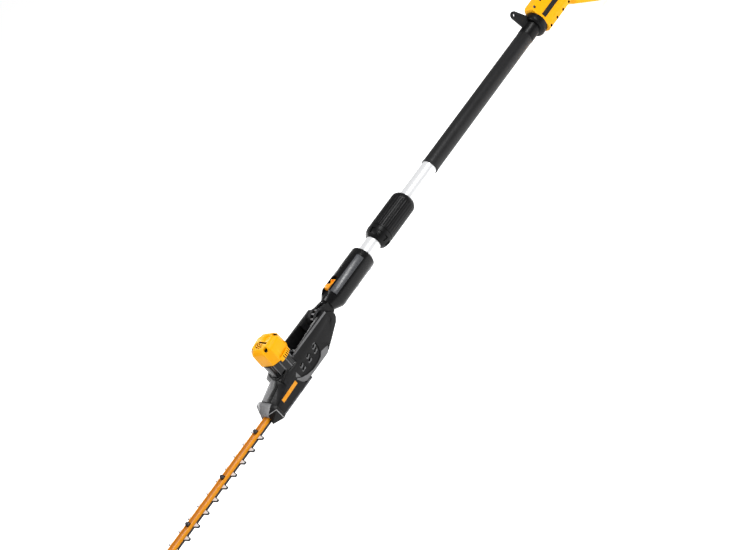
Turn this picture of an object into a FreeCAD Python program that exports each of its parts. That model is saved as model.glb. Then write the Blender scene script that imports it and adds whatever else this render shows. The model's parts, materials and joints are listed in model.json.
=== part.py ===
import FreeCAD, Part
import Sketcher
import math
import os
import re

# Pole hedge trimmer. X runs from the blade tip (-) to the battery (+), Z is up (motor side).
# Origin: centre of the bounding box footprint, Z = 0 under the battery. Millimetres, degrees.

SIZES = dict(
    axis_h=115, half_len=1020,
    # pole, its joint and its soft grip
    pole_r=16, pole_bore_r=14.5, joint_gap=4, tube_end=640, low_tube_len=150,
    sleeve_x=172, sleeve_len=388, sleeve_r=17.4, end_ring_w=4, end_ring_r=18,
    socket_x=-12, socket_len=84, socket_r=20, nose_len=16, nose_r=17.4, run_fit=0.05, gap=0.3,
    collar_x=-36, collar_len=115, collar_r=25.6, collar_tip_r=18,
    plug_r=10, plug_bore_r=10.4, plug_len=24,
    # head adapter and tilt latch
    adapter_x=-197, adapter_len=127, adapter_r=25, pivot_x=-225, pivot_z=-5,
    knuckle_half=12.5, knuckle_r=20, disc_half=4.5, disc_r=19, disc_slot=5, pin_r=3,
    notch_w=6.6, notch_depth=6, seat_z=17, neck_r=12,
    latch_leg_half=3, latch_plate_half=7, screw_r=1.6, screw_head_r=3.3,
    # head, local to the tilt pivot
    arm_in=12.8, arm_out=28, case_bottom=-41.5, cover_t=3, motor_x=-115, ring_r=30,
    ring_z=2, ring_h=30, cap_h=37, cap_r=28.5, shaft_r=4, crank_x=-147, gear_r=25,
    pinion_r=6, bolt_r=4, guard_half=29, passage_half=10.1,
    # cutting bar
    rail_half=9.2, rail_h=4.6, rail_z=-42, blade_t=1.8, blade_gap=0.3, bar_half=9.5,
    tooth_pitch=27.2, tooth_count=20, tooth_x=-994, tooth_reach=23.5,
    bolt_x=-971, bolt_pitch=101, bolt_count=6, stud_r=2.5, stud_head_r=4.5,
    stroke=9.5, rail_end=1012, blade_root=-371,
    # rear handle
    strap_x=585, strap_len=18, strap_r=27, strap_hole_r=3.6, strap_hole_x=562, strap_hole_z=54,
    house_x=603, house_len=119, house_top=38, house_low=-26, seat_len=40,
    grip_x=714, grip_len=180, grip_half=17, grip_top=21, grip_low=-17, wall=3,
    block_x=884, block_len=128, block_half=34, block_top=30, block_low=-48.5,
    loop_half=13, trig_x=745, trig_z=-10, trig_half=7, trig_slot=7.6, trig_pin_r=2,
    # battery
    pack_x=902.3, pack_len=117, pack_half=37.5, pack_split=-72, pack_top=-49,
    tower_x=917, tower_len=94, tower_half=16, flange_half=20, flange_z=-42, tower_top=-38,
)

doc = FreeCAD.newDocument("pole_hedge_trimmer")
sheet = doc.addObject("Spreadsheet::Sheet", "sizes")
for row, (alias, number) in enumerate(SIZES.items(), start=1):
    sheet.set(f"A{row}", str(number))
    sheet.setAlias(f"A{row}", alias)
doc.recompute()

X_AXIS, Y_AXIS, Z_AXIS = FreeCAD.Vector(1, 0, 0), FreeCAD.Vector(0, 1, 0), FreeCAD.Vector(0, 0, 1)
TURNS = {"x": FreeCAD.Rotation(Y_AXIS, 90), "y": FreeCAD.Rotation(X_AXIS, -90), "z": FreeCAD.Rotation()}
PLANES = {"xz": "XZ_Plane", "xy": "XY_Plane", "yz": "YZ_Plane"}
NODES = []


def ref(text):
    """Turns alias words into sheet references."""
    return re.sub(r"[a-z_]\w*", lambda m: "sizes." + m[0] if m[0] in SIZES else m[0], str(text))


def num(text):
    """The number an expression has now."""
    return float(sheet.evalExpression(ref(text)))


def bind(obj, **sizes):
    for prop, text in sizes.items():
        obj.setExpression(prop, ref(text))
    return obj


def place(obj, x=0, y=0, z=0, turn=None):
    """Puts an object at a bound position; turn is an optional rotation."""
    if turn is not None:
        obj.Placement = FreeCAD.Placement(FreeCAD.Vector(), turn)
    for axis, text in zip("xyz", (x, y, z)):
        obj.setExpression("Placement.Base." + axis, ref(text))
    return obj


def node(obj, name, x=0, y=0, z="axis_h"):
    """Names a finished piece and puts it in the frame."""
    obj.Label = name
    place(obj, x, y, z)
    NODES.append(obj)
    return obj


HEAD = dict(x="pivot_x", z="axis_h + pivot_z")


def body(name):
    return doc.addObject("PartDesign::Body", name + "_body")


def sketch(part, plane, loops=(), circles=(), offset=0):
    """Closed outlines and circles on one of the body's own planes, each corner bound to the sheet."""
    sk = part.newObject("Sketcher::SketchObject", "outline")
    base = next(f for f in part.Origin.OriginFeatures if f.Role == PLANES[plane])
    sk.AttachmentSupport = [(base, "")]
    sk.MapMode = "FlatFace"
    sk.setExpression("AttachmentOffset.Base.z", ref(offset))

    def hold(kind, geo, point, text):
        at = sk.addConstraint(Sketcher.Constraint(kind, -1, 1, geo, point, num(text)))
        sk.setExpression(f"Constraints[{at}]", ref(text))

    for loop in loops:
        spots = [FreeCAD.Vector(num(a), num(b), 0) for a, b in loop]
        first, n = sk.GeometryCount, len(loop)
        for i in range(n):
            sk.addGeometry(Part.LineSegment(spots[i], spots[(i + 1) % n]), False)
        for i in range(n):
            sk.addConstraint(Sketcher.Constraint("Coincident", first + i, 2, first + (i + 1) % n, 1))
        for i, (a, b) in enumerate(loop):
            hold("DistanceX", first + i, 1, a)
            hold("DistanceY", first + i, 1, b)
    for a, b, r in circles:
        geo = sk.addGeometry(Part.Circle(FreeCAD.Vector(num(a), num(b), 0), Z_AXIS, num(r)), False)
        hold("DistanceX", geo, 3, a)
        hold("DistanceY", geo, 3, b)
        at = sk.addConstraint(Sketcher.Constraint("Radius", geo, num(r)))
        sk.setExpression(f"Constraints[{at}]", ref(r))
    return sk


def grow(part, kind, sk, length, both=False, back=False):
    """Pad or Pocket of a sketch; both = symmetric, back = against the plane's normal."""
    step = part.newObject("PartDesign::" + kind, kind.lower())
    step.Profile = sk
    bind(step, Length=length)
    if both:
        step.SideType = "Symmetric"
    step.Reversed = back
    sk.Visibility = False
    part.Tip = step
    return step


def turn_up(part, loop, axis="H_Axis"):
    """Revolution of an outline in the XZ plane."""
    sk = sketch(part, "xz", [loop])
    step = part.newObject("PartDesign::Revolution", "turned")
    step.Profile = sk
    step.ReferenceAxis = (sk, [axis])
    step.Angle = 360
    part.Tip = step
    return step


def turned(name, loop, x=0, z="axis_h", axis="H_Axis"):
    part = body(name)
    turn_up(part, loop, axis)
    return node(part, name, x=x, z=z)


def repeat(part, kinds, direction, pitch, count):
    """Linear pattern of features along a body axis, given as spacing and number."""
    row = part.newObject("PartDesign::LinearPattern", "row")
    row.Originals = kinds
    axis = next(f for f in part.Origin.OriginFeatures if f.Role == direction)
    row.Direction = (axis, [""])
    bind(row, Length=f"{pitch} * ({count} - 1)", Occurrences=count)
    part.Tip = row
    return row


def soften(part, radius, pick):
    """Fillets the edges that pick(edge) accepts."""
    doc.recompute()
    tip = part.Tip
    names = [f"Edge{i}" for i, e in enumerate(tip.Shape.Edges, start=1) if pick(e)]
    step = part.newObject("PartDesign::Fillet", "soft")
    step.Base = (tip, names)
    step.Radius = radius
    part.Tip = step
    doc.recompute()
    if step.Shape.isNull() or not step.Shape.isValid() or "Invalid" in step.State:
        raise RuntimeError("fillet failed on " + part.Label)
    return step


def along(edge, axis):
    """True for a straight edge parallel to the axis."""
    if edge.Curve.TypeId != "Part::GeomLine":
        return False
    return abs(edge.tangentAt(edge.FirstParameter).dot(axis)) > 0.999


def box(size, at):
    """Part box from (sx, sy, sz) and its lowest corner."""
    b = bind(doc.addObject("Part::Box", "box"), Length=size[0], Width=size[1], Height=size[2])
    return place(b, *at)


def rod(radius, length, at, axis="z"):
    c = bind(doc.addObject("Part::Cylinder", "rod"), Radius=radius, Height=length)
    return place(c, *at, turn=TURNS[axis])


def join(*parts):
    j = doc.addObject("Part::MultiFuse", "join")
    j.Shapes = list(parts)
    return j


def cut(base, *tools):
    c = doc.addObject("Part::Cut", "cut")
    c.Base, c.Tool = base, tools[0] if len(tools) == 1 else join(*tools)
    return c


def group(*parts):
    g = doc.addObject("Part::Compound", "group")
    g.Links = list(parts)
    return g


def screw(at, axis="y", head_r="screw_head_r", head_h=2.5, shank_r="screw_r", length=20):
    """Screw whose head starts at a point and whose shank follows it along the axis."""
    x, y, z = at
    shift = {"x": (f"{x} + {head_h}", y, z), "y": (x, f"{y} + {head_h}", z), "z": (x, y, f"{z} + {head_h}")}[axis]
    return join(rod(head_r, head_h, at, axis), rod(shank_r, length, shift, axis))


# ---------------------------------------------------------------- pole and coupler
turned("tube_upper", [("joint_gap", "pole_bore_r"), ("tube_end", "pole_bore_r"),
                      ("tube_end", "pole_r"), ("joint_gap", "pole_r")])
turned("pole_grip_sleeve", [("sleeve_x", "pole_r"), ("sleeve_x + sleeve_len", "pole_r"),
                            ("sleeve_x + sleeve_len", "sleeve_r - 1"), ("sleeve_x + sleeve_len - 2", "sleeve_r"),
                            ("sleeve_x", "sleeve_r")])
turned("sleeve_end_ring", [("sleeve_x - end_ring_w", "pole_r"), ("sleeve_x", "pole_r"),
                           ("sleeve_x", "end_ring_r"), ("sleeve_x - end_ring_w + 1", "end_ring_r"),
                           ("sleeve_x - end_ring_w", "end_ring_r - 1")])
turned("coupler_socket", [("socket_x - nose_len", "pole_r + run_fit"), ("joint_gap", "pole_r + run_fit"),
                          ("joint_gap", "pole_r"), ("socket_x + socket_len", "pole_r"),
                          ("socket_x + socket_len", "socket_r"), ("socket_x", "socket_r"), ("socket_x", "nose_r"),
                          ("socket_x - nose_len", "nose_r")])
turned("plug_female", [("joint_gap + 2", "plug_bore_r"), ("plug_len + 2", "plug_bore_r"), ("plug_len + 2", 0),
                       (60, 0), (60, "pole_bore_r"), ("joint_gap + 2", "pole_bore_r")])

collar = body("coupler_collar")
turn_up(collar, [("collar_x", "pole_r + gap"), ("socket_x - nose_len - gap", "pole_r + gap"),
                 ("socket_x - nose_len - gap", "nose_r + run_fit"), ("socket_x - gap", "nose_r + run_fit"),
                 ("socket_x - gap", "socket_r + run_fit"), ("socket_x + socket_len + gap", "socket_r + run_fit"),
                 ("socket_x + socket_len + gap", "pole_r + gap"), ("collar_x + collar_len", "pole_r + gap"),
                 ("collar_x + collar_len", "collar_r - 6"), ("collar_x + collar_len - 4", "collar_r - 2"),
                 ("collar_x + collar_len - 10", "collar_r"), ("collar_x + 20", "collar_r"),
                 ("collar_x + 11", "collar_r - 1.2"), ("collar_x + 5", "collar_r - 3.4"),
                 ("collar_x + 1.5", "collar_tip_r + 2"), ("collar_x", "collar_tip_r")])
window = grow(collar, "Pocket", sketch(collar, "yz", [[(-3.2, "collar_r - 2.6"), (3.2, "collar_r - 2.6"), (3.2, 40),
                                                       (-3.2, 40)]], offset="collar_x + 6"), 17)
window.Reversed = True
ring = collar.newObject("PartDesign::PolarPattern", "windows")
ring.Originals = [window]
ring.Axis = (next(f for f in collar.Origin.OriginFeatures if f.Role == "X_Axis"), [""])
ring.Angle, ring.Occurrences = 360, 10
collar.Tip = ring
node(collar, "coupler_collar")

# ---------------------------------------------------------------- head adapter
turned("tube_lower", [("-low_tube_len", "pole_bore_r"), (0, "pole_bore_r"), (0, "pole_r"), ("-low_tube_len", "pole_r")])
turned("plug_male", [(-30, 0), ("plug_len", 0), ("plug_len", "plug_r - 1"), ("plug_len - 1", "plug_r"),
                     (0, "plug_r"), (0, "pole_bore_r"), (-30, "pole_bore_r")])

ADAPTER_SCREWS = (-86, -128, -170)
for name, side in (("adapter_shell_left", -1), ("adapter_shell_right", 1)):
    shell = body(name)
    turn_up(shell, [("adapter_x", "neck_r"), ("adapter_x + 10", "neck_r"), ("adapter_x + 10", "pole_r"),
                    ("adapter_x + adapter_len", "pole_r"), ("adapter_x + adapter_len", "adapter_r - 4"),
                    ("adapter_x + adapter_len - 4", "adapter_r"), ("adapter_x + 20", "adapter_r"),
                    ("adapter_x + 5", "neck_r + 5"), ("adapter_x", "neck_r + 2.5")])
    far = [(-210, -40), (-60, -40), (-60, 40), (-210, 40)]
    grow(shell, "Pocket", sketch(shell, "xz", [far]), 40, back=side > 0)
    grow(shell, "Pocket", sketch(shell, "xz", circles=[(x, -20.5, "screw_r") for x in ADAPTER_SCREWS]), 60, both=True)
    if side < 0:
        heads = sketch(shell, "xz", circles=[(x, -20.5, "screw_head_r") for x in ADAPTER_SCREWS], offset=11)
        grow(shell, "Pocket", heads, 20, back=True)
    grow(shell, "Pocket", sketch(shell, "xy", [[(-205, -9), (-144, -9), (-144, 9), (-205, 9)]], offset="seat_z"),
         10, back=True)
    grow(shell, "Pocket", sketch(shell, "xy", [[(-176.5, -3.4), (-161.5, -3.4), (-161.5, 3.4), (-176.5, 3.4)]],
                                 offset=10), 20, back=True)
    node(shell, name)
node(group(*[screw((x, -13.5, -20.5), length=20) for x in ADAPTER_SCREWS]), "adapter_screws")
strip = box((92, 0.8, 9), (-178, "-adapter_r - 0.8", -4.5))
tilted = group(strip)
node(tilted, "adapter_strip")
tilted.Placement = FreeCAD.Placement(FreeCAD.Vector(0, 0, SIZES["axis_h"]), FreeCAD.Rotation(X_AXIS, -42))
place(tilted, z="axis_h")

knuckle = body("knuckle")
turn_up(knuckle, [("-low_tube_len", 0), ("-low_tube_len", "pole_r"), ("adapter_x + 10", "pole_r"),
                  ("adapter_x + 10", "neck_r"), ("adapter_x - 4", "neck_r"), ("adapter_x - 4", 0)])
grow(knuckle, "Pad", sketch(knuckle, "xz", [[("adapter_x", -12), ("adapter_x", 10), ("pivot_x", "pivot_z + knuckle_r - 1"),
                                             ("pivot_x", "pivot_z - knuckle_r + 1")]]), "2 * (knuckle_half - 0.4)",
     both=True)
grow(knuckle, "Pad", sketch(knuckle, "xz", circles=[("pivot_x", "pivot_z", "knuckle_r")]), "2 * knuckle_half", both=True)
disc_room = [("pivot_x - 30", -40), ("pivot_x + disc_r + 3", -40), ("pivot_x + disc_r + 3", 40), ("pivot_x - 30", 40)]
grow(knuckle, "Pocket", sketch(knuckle, "xz", [disc_room]), "2 * disc_slot", both=True)
grow(knuckle, "Pocket", sketch(knuckle, "xz", circles=[("pivot_x", "pivot_z", "bolt_r + run_fit")]), 80, both=True)
grow(knuckle, "Pocket", sketch(knuckle, "yz", circles=[(0, "pivot_z", "pin_r + run_fit")], offset="-low_tube_len - 5"),
     80, back=False)
grow(knuckle, "Pocket", sketch(knuckle, "xy", [[(-176.5, -3.4), (-161.5, -3.4), (-161.5, 3.4), (-176.5, 3.4)]],
                               offset="pivot_z"), 40, back=True)
node(knuckle, "knuckle")

node(rod("pin_r", 47, ("pivot_x + disc_r + 0.5", 0, "pivot_z"), "x"), "latch_pin")
NODES[-1].setExpression("Placement.Base.x", ref("pivot_x + disc_r + 0.5"))
NODES[-1].setExpression("Placement.Base.z", ref("axis_h + pivot_z"))
lever = body("latch_lever")
PLATE_UP = [(-149, "seat_z + gap"), (-149, "seat_z + 2.5"), (-163, "seat_z + 3.5"), (-166, "seat_z + 9"),
            (-170, "seat_z + 9"), (-176, "seat_z + 3.5"), (-176, "seat_z + gap")]
grow(lever, "Pad", sketch(lever, "xz", [PLATE_UP + [(-171, "seat_z + gap"), (-171, -2), (-165, -2),
                                                    (-165, "seat_z + gap")]]), "2 * latch_leg_half", both=True)
grow(lever, "Pad", sketch(lever, "xz", [PLATE_UP]), "2 * latch_plate_half", both=True)
node(lever, "latch_lever")

# ---------------------------------------------------------------- articulating head (local to the tilt pivot)
PLATE = [(5, 17), (-112, 17), (-150, 0), (-160, -6), (-188, -12), (-188, "case_bottom"), (-46, "case_bottom"),
         (-25, -32), (8, -16), (15, -9.5), (17.5, -3), (16.5, 4.5)]
CASE = [(-31, -32), (-62, -26), (-84, -14), (-84, "ring_z"), (-146, "ring_z"), (-160, -6), (-188, -12),
        (-188, "case_bottom"), (-46, "case_bottom")]
VENTS = [(-59, -9), (-63, -16), (-80, -12), (-84, -19), (-101, -12), (-105, -19)]
HEAD_SCREWS = ((-60, -34), (-92, -34), (-92, -6))
for name, side in (("head_shell_left", -1), ("head_shell_right", 1)):
    shell = body(name)
    away = side > 0
    grow(shell, "Pad", sketch(shell, "xz", [PLATE], offset=f"{-side} * arm_in"), "arm_out - arm_in", back=away)
    grow(shell, "Pad", sketch(shell, "xz", [CASE]), "arm_in + 1", back=away)
    rim = "arm_out" if side < 0 else "-arm_out"
    soften(shell, 3, lambda e: abs(abs(e.CenterOfMass.y) - SIZES["arm_out"]) < 0.01 and e.CenterOfMass.z > -41)
    grow(shell, "Pocket", sketch(shell, "xy", circles=[("motor_x", 0, "ring_r")], offset="ring_z"), 40, back=True)
    cavity = [(-179, -25.6), (-107.5, -25.6), (-107.5, 25.6), (-179, 25.6)]
    grow(shell, "Pocket", sketch(shell, "xy", [cavity], offset=-19), 40)
    grow(shell, "Pocket", sketch(shell, "xy", circles=[("motor_x", 0, 8)], offset=-20), 40, back=True)
    grow(shell, "Pocket", sketch(shell, "xy", circles=[("crank_x", 0, "5 + run_fit")], offset=-20), 13, back=True)
    passage = [("-passage_half", -45), ("passage_half", -45), ("passage_half", -31.6), ("-passage_half", -31.6)]
    grow(shell, "Pocket", sketch(shell, "yz", [passage], offset=-190), 12, back=True)
    grow(shell, "Pocket", sketch(shell, "xz", circles=[(0, 0, "bolt_r")]), 80, both=True)
    grow(shell, "Pocket", sketch(shell, "xz", circles=[(x, z, "screw_r") for x, z in HEAD_SCREWS]), 60, both=True)
    for x, z in VENTS:
        slot = [(x - 5, z - 1.6), (x + 4, z - 0.6), (x + 5, z + 1.6), (x - 4, z + 0.6)]
        grow(shell, "Pocket", sketch(shell, "xz", [slot], offset=rim), 3, back=side > 0)
    if side < 0:
        grow(shell, "Pocket", sketch(shell, "xz", circles=[(0, 0, 5.3)], offset="arm_out - 3.5"), 20, back=True)
    else:
        bores = sketch(shell, "xz", circles=[(x, z, "screw_head_r") for x, z in HEAD_SCREWS], offset=-22)
        grow(shell, "Pocket", bores, 20)
    node(shell, name, **HEAD)

node(group(*[join(rod("screw_r", 44, (x, -22, z), "y"), rod("screw_head_r", 2.5, (x, 22, z), "y"))
             for x, z in HEAD_SCREWS]), "head_screws", **HEAD)
bolt = join(rod(5, 2.5, (0, "-arm_out + 1", 0), "y"), rod("bolt_r", "2 * arm_out - 3.5", (0, "-arm_out + 3.5", 0), "y"),
            rod(6.5, 5, (0, "arm_out", 0), "y"))
node(bolt, "pivot_bolt", **HEAD)

disc = body("index_disc")
grow(disc, "Pad", sketch(disc, "xz", circles=[(0, 0, "disc_r"), (0, 0, "bolt_r")]), "2 * disc_half", both=True)
notch = grow(disc, "Pocket", sketch(disc, "xz", [[("disc_r - notch_depth", "-notch_w / 2"), (25, "-notch_w / 2"),
                                                  (25, "notch_w / 2"), ("disc_r - notch_depth", "notch_w / 2")]]),
             40, both=True)
fan_out = disc.newObject("PartDesign::PolarPattern", "notches")
fan_out.Originals = [notch]
fan_out.Axis = (next(f for f in disc.Origin.OriginFeatures if f.Role == "Y_Axis"), [""])
fan_out.Angle, fan_out.Occurrences = 360, 12
disc.Tip = fan_out
node(disc, "index_disc", **HEAD)

turned("motor_ring_base", [("11", "ring_z"), ("ring_r", "ring_z"), ("ring_r", "ring_z + ring_h"),
                           ("ring_r - 4", "ring_z + ring_h"), ("ring_r - 4", "ring_z + 3"), ("11", "ring_z + 3")],
       x="pivot_x + motor_x", z="axis_h + pivot_z", axis="V_Axis")

cap = body("motor_cap")
octagon = [(f"cap_r / cos(22.5) * cos({22.5 + 45 * i})", f"cap_r / cos(22.5) * sin({22.5 + 45 * i})") for i in range(8)]
inner = [(a.replace("cap_r", "(cap_r - 3)"), b.replace("cap_r", "(cap_r - 3)")) for a, b in octagon]
grow(cap, "Pad", sketch(cap, "xy", [octagon], offset="ring_z + ring_h"), "cap_h")
soften(cap, 5, lambda e: abs(e.CenterOfMass.z - 69) < 0.1)
grow(cap, "Pocket", sketch(cap, "xy", [inner], offset="ring_z + ring_h - 1"), "cap_h - 3", back=True)
grow(cap, "Pad", sketch(cap, "xy", circles=[(0, 0, 14), (0, 0, 11)], offset="ring_z + ring_h + 23"), 13)
grow(cap, "Pocket", sketch(cap, "xy", [[(-12, y), (12, y), (12, y + 2.5), (-12, y + 2.5)] for y in (-10, -5, 2.5, 7.5)],
                           offset=80), 20)
node(cap, "motor_cap", x="pivot_x + motor_x", z="axis_h + pivot_z")

turned("motor_stator", [(14.5, 12), (25, 12), (25, 48), (14.5, 48)], x="pivot_x + motor_x", z="axis_h + pivot_z",
       axis="V_Axis")
turned("motor_rotor", [(0, -30), ("shaft_r", -30), ("shaft_r", 14), (14, 14), (14, 46), ("shaft_r", 46),
                       ("shaft_r", 63), (0, 63)], x="pivot_x + motor_x", z="axis_h + pivot_z", axis="V_Axis")
turned("cooling_fan", [("shaft_r", 49), (22, 49), (22, 50.5), (7, 50.5), (7, 54), ("shaft_r", 54)],
       x="pivot_x + motor_x", z="axis_h + pivot_z", axis="V_Axis")
bearings = [cut(rod(11, h, (0, 0, z)), rod("shaft_r + run_fit", h, (0, 0, z)))
            for z, h in (("ring_z", 7), (56, 7))]
node(group(*bearings), "motor_bearings", x="pivot_x + motor_x", z="axis_h + pivot_z")

pinion = body("pinion")
grow(pinion, "Pad", sketch(pinion, "xy", circles=[(0, 0, "pinion_r"), (0, 0, "shaft_r")], offset=-29), 9)
node(pinion, "pinion", x="pivot_x + motor_x", z="axis_h + pivot_z")
gear = body("crank_gear")
grow(gear, "Pad", sketch(gear, "xy", circles=[(0, 0, "gear_r")], offset=-27), 6)
tooth_gap = grow(gear, "Pocket", sketch(gear, "xy", [[("gear_r - 1.5", -0.8), (30, -1.2), (30, 1.2),
                                                      ("gear_r - 1.5", 0.8)]], offset=-20), 20)
teeth = gear.newObject("PartDesign::PolarPattern", "teeth")
teeth.Originals = [tooth_gap]
teeth.Axis = (next(f for f in gear.Origin.OriginFeatures if f.Role == "Z_Axis"), [""])
teeth.Angle, teeth.Occurrences = 360, 34
gear.Tip = teeth
grow(gear, "Pad", sketch(gear, "xy", circles=[(0, 0, 5)], offset=-21), 13.5)
grow(gear, "Pad", sketch(gear, "xy", circles=[("stroke / 2", 0, 8)], offset=-37), 10)
node(gear, "crank_gear", x="pivot_x + crank_x", z="axis_h + pivot_z")

COVER_SCREWS = [(x, y) for x in (-183.5, -104.5) for y in (-20, 20)]
cover = cut(box((87, 55, "cover_t"), (-187.5, -27.5, "case_bottom - cover_t")),
            *[rod("screw_r", 10, (x, y, -50)) for x, y in COVER_SCREWS])
node(cover, "gear_case_cover", **HEAD)
node(group(*[screw((x, y, "case_bottom - cover_t - 1.5"), "z", head_h=1.5, length="cover_t")
             for x, y in COVER_SCREWS]), "cover_screws", **HEAD)

guard = body("hand_guard")
grow(guard, "Pad", sketch(guard, "xz", [[(-188, -10), (-200, -12), (-212, -17), (-216, -28), (-214, -39), (-206, -44.5),
                                         (-188, -44.5)]]), "2 * guard_half", both=True)
corners = [(-300, "guard_half - 19"), (-217, "guard_half - 19"), (-201, "guard_half"), (-201, 60), (-300, 60)]
for sign in ("", "-"):
    grow(guard, "Pocket", sketch(guard, "xy", [[(a, f"{sign}({b})") for a, b in corners]], offset=-60), 90, back=True)
slot = [("-passage_half", -41.8), ("passage_half", -41.8), ("passage_half", -31.6), ("-passage_half", -31.6)]
grow(guard, "Pocket", sketch(guard, "yz", [slot], offset=-240), 80, back=True)
node(guard, "hand_guard", **HEAD)

# ---------------------------------------------------------------- cutting bar (local to the pole axis)
rail = body("blade_rail")
grow(rail, "Pad", sketch(rail, "yz", [[("-rail_half", "rail_z"), ("rail_half", "rail_z"),
                                       ("rail_half", "rail_z + rail_h - 1.6"), ("rail_half - 1.6", "rail_z + rail_h"),
                                       ("rail_half - 4", "rail_z + rail_h"), ("rail_half - 5", "rail_z + rail_h - 1"),
                                       ("-rail_half + 5", "rail_z + rail_h - 1"),
                                       ("-rail_half + 4", "rail_z + rail_h"),
                                       ("-rail_half + 1.6", "rail_z + rail_h"), ("-rail_half", "rail_z + rail_h - 1.6")]],
                         offset="-rail_end"), "rail_end - 403")
hole = grow(rail, "Pocket", sketch(rail, "xy", circles=[("bolt_x", 0, "stud_r")], offset="rail_z - 2"), 20,
            back=True)
seat = grow(rail, "Pocket", sketch(rail, "xy", circles=[("bolt_x", 0, "stud_head_r + gap")],
                                   offset="rail_z + rail_h - 1"), 20, back=True)
repeat(rail, [hole, seat], "X_Axis", "bolt_pitch", "bolt_count")
node(rail, "blade_rail")

studs = []
for i in range(SIZES["bolt_count"]):
    x = f"bolt_x + {i} * bolt_pitch"
    studs.append(join(rod("stud_head_r", 7, (x, 0, "rail_z + rail_h - 1")),
                      rod("stud_r", 11, (x, 0, "rail_z + rail_h - 12")),
                      rod("stud_head_r", 2.6, (x, 0, "rail_z - 2 * (blade_t + blade_gap) - gap - 2.6"))))
node(group(*studs), "blade_bolts")

TOOTH = [(0, -9), (1.2, -14), (2, -20), (3, "-tooth_reach"), (7.4, "-tooth_reach"), (8.8, -20), (10, -14), (11, -9)]
for name, level in (("blade_upper", 0), ("blade_lower", 1)):
    blade = body(name)
    z = f"rail_z - 0.3 - blade_t - {level} * (blade_t + blade_gap)"
    bar = [(-1020, -3), (-1016, "-bar_half"), ("blade_root - 22.5", "-bar_half"), ("blade_root - 19", -16),
           ("blade_root + 18", -16), ("blade_root + 18", 16), ("blade_root - 19", 16), ("blade_root - 22.5", "bar_half"),
           (-1016, "bar_half"), (-1020, 3)]
    grow(blade, "Pad", sketch(blade, "xy", [bar], offset=z), "blade_t")
    near = [(f"tooth_x + {a}", b) for a, b in TOOTH]
    far = [(f"tooth_x + {a} + 8", f"-({b})") for a, b in TOOTH]
    edge = [grow(blade, "Pad", sketch(blade, "xy", [t], offset=z), "blade_t") for t in (near, far)]
    repeat(blade, edge, "X_Axis", "tooth_pitch", "tooth_count")
    long_slot = [("bolt_x - stroke - 3", -2.8), ("bolt_x + stroke + 3", -2.8),
                 ("bolt_x + stroke + 3", 2.8), ("bolt_x - stroke - 3", 2.8)]
    opening = grow(blade, "Pocket", sketch(blade, "xy", [long_slot], offset=-60), 40, back=True)
    repeat(blade, [opening], "X_Axis", "bolt_pitch", "bolt_count")
    yoke = [("blade_root - 9", -12.5), ("blade_root + 9", -12.5), ("blade_root + 9", 12.5), ("blade_root - 9", 12.5)]
    grow(blade, "Pocket", sketch(blade, "xy", [yoke], offset=-60), 40, back=True)
    node(blade, name)

# ---------------------------------------------------------------- strap collar
strap = body("strap_collar")
turn_up(strap, [("strap_x - 20", "pole_r"), ("strap_x + strap_len", "pole_r"), ("strap_x + strap_len", "strap_r"),
                ("strap_x + 5", "strap_r"), ("strap_x", "strap_r - 4"), ("strap_x", "pole_r + 2"),
                ("strap_x - 20", "pole_r + 2")])
grow(strap, "Pad", sketch(strap, "xz", [[("strap_x - 7", 22), ("strap_x + 16", 22), ("strap_hole_x + 8", "strap_hole_z + 3"),
                                         ("strap_hole_x - 8", "strap_hole_z - 3")]]), 8.5, both=True)
grow(strap, "Pad", sketch(strap, "xz", circles=[("strap_hole_x", "strap_hole_z", 8.5)]), 8.5, both=True)
grow(strap, "Pocket", sketch(strap, "xz", circles=[("strap_hole_x", "strap_hole_z", "strap_hole_r")]), 20, both=True)
node(strap, "strap_collar")

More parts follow.
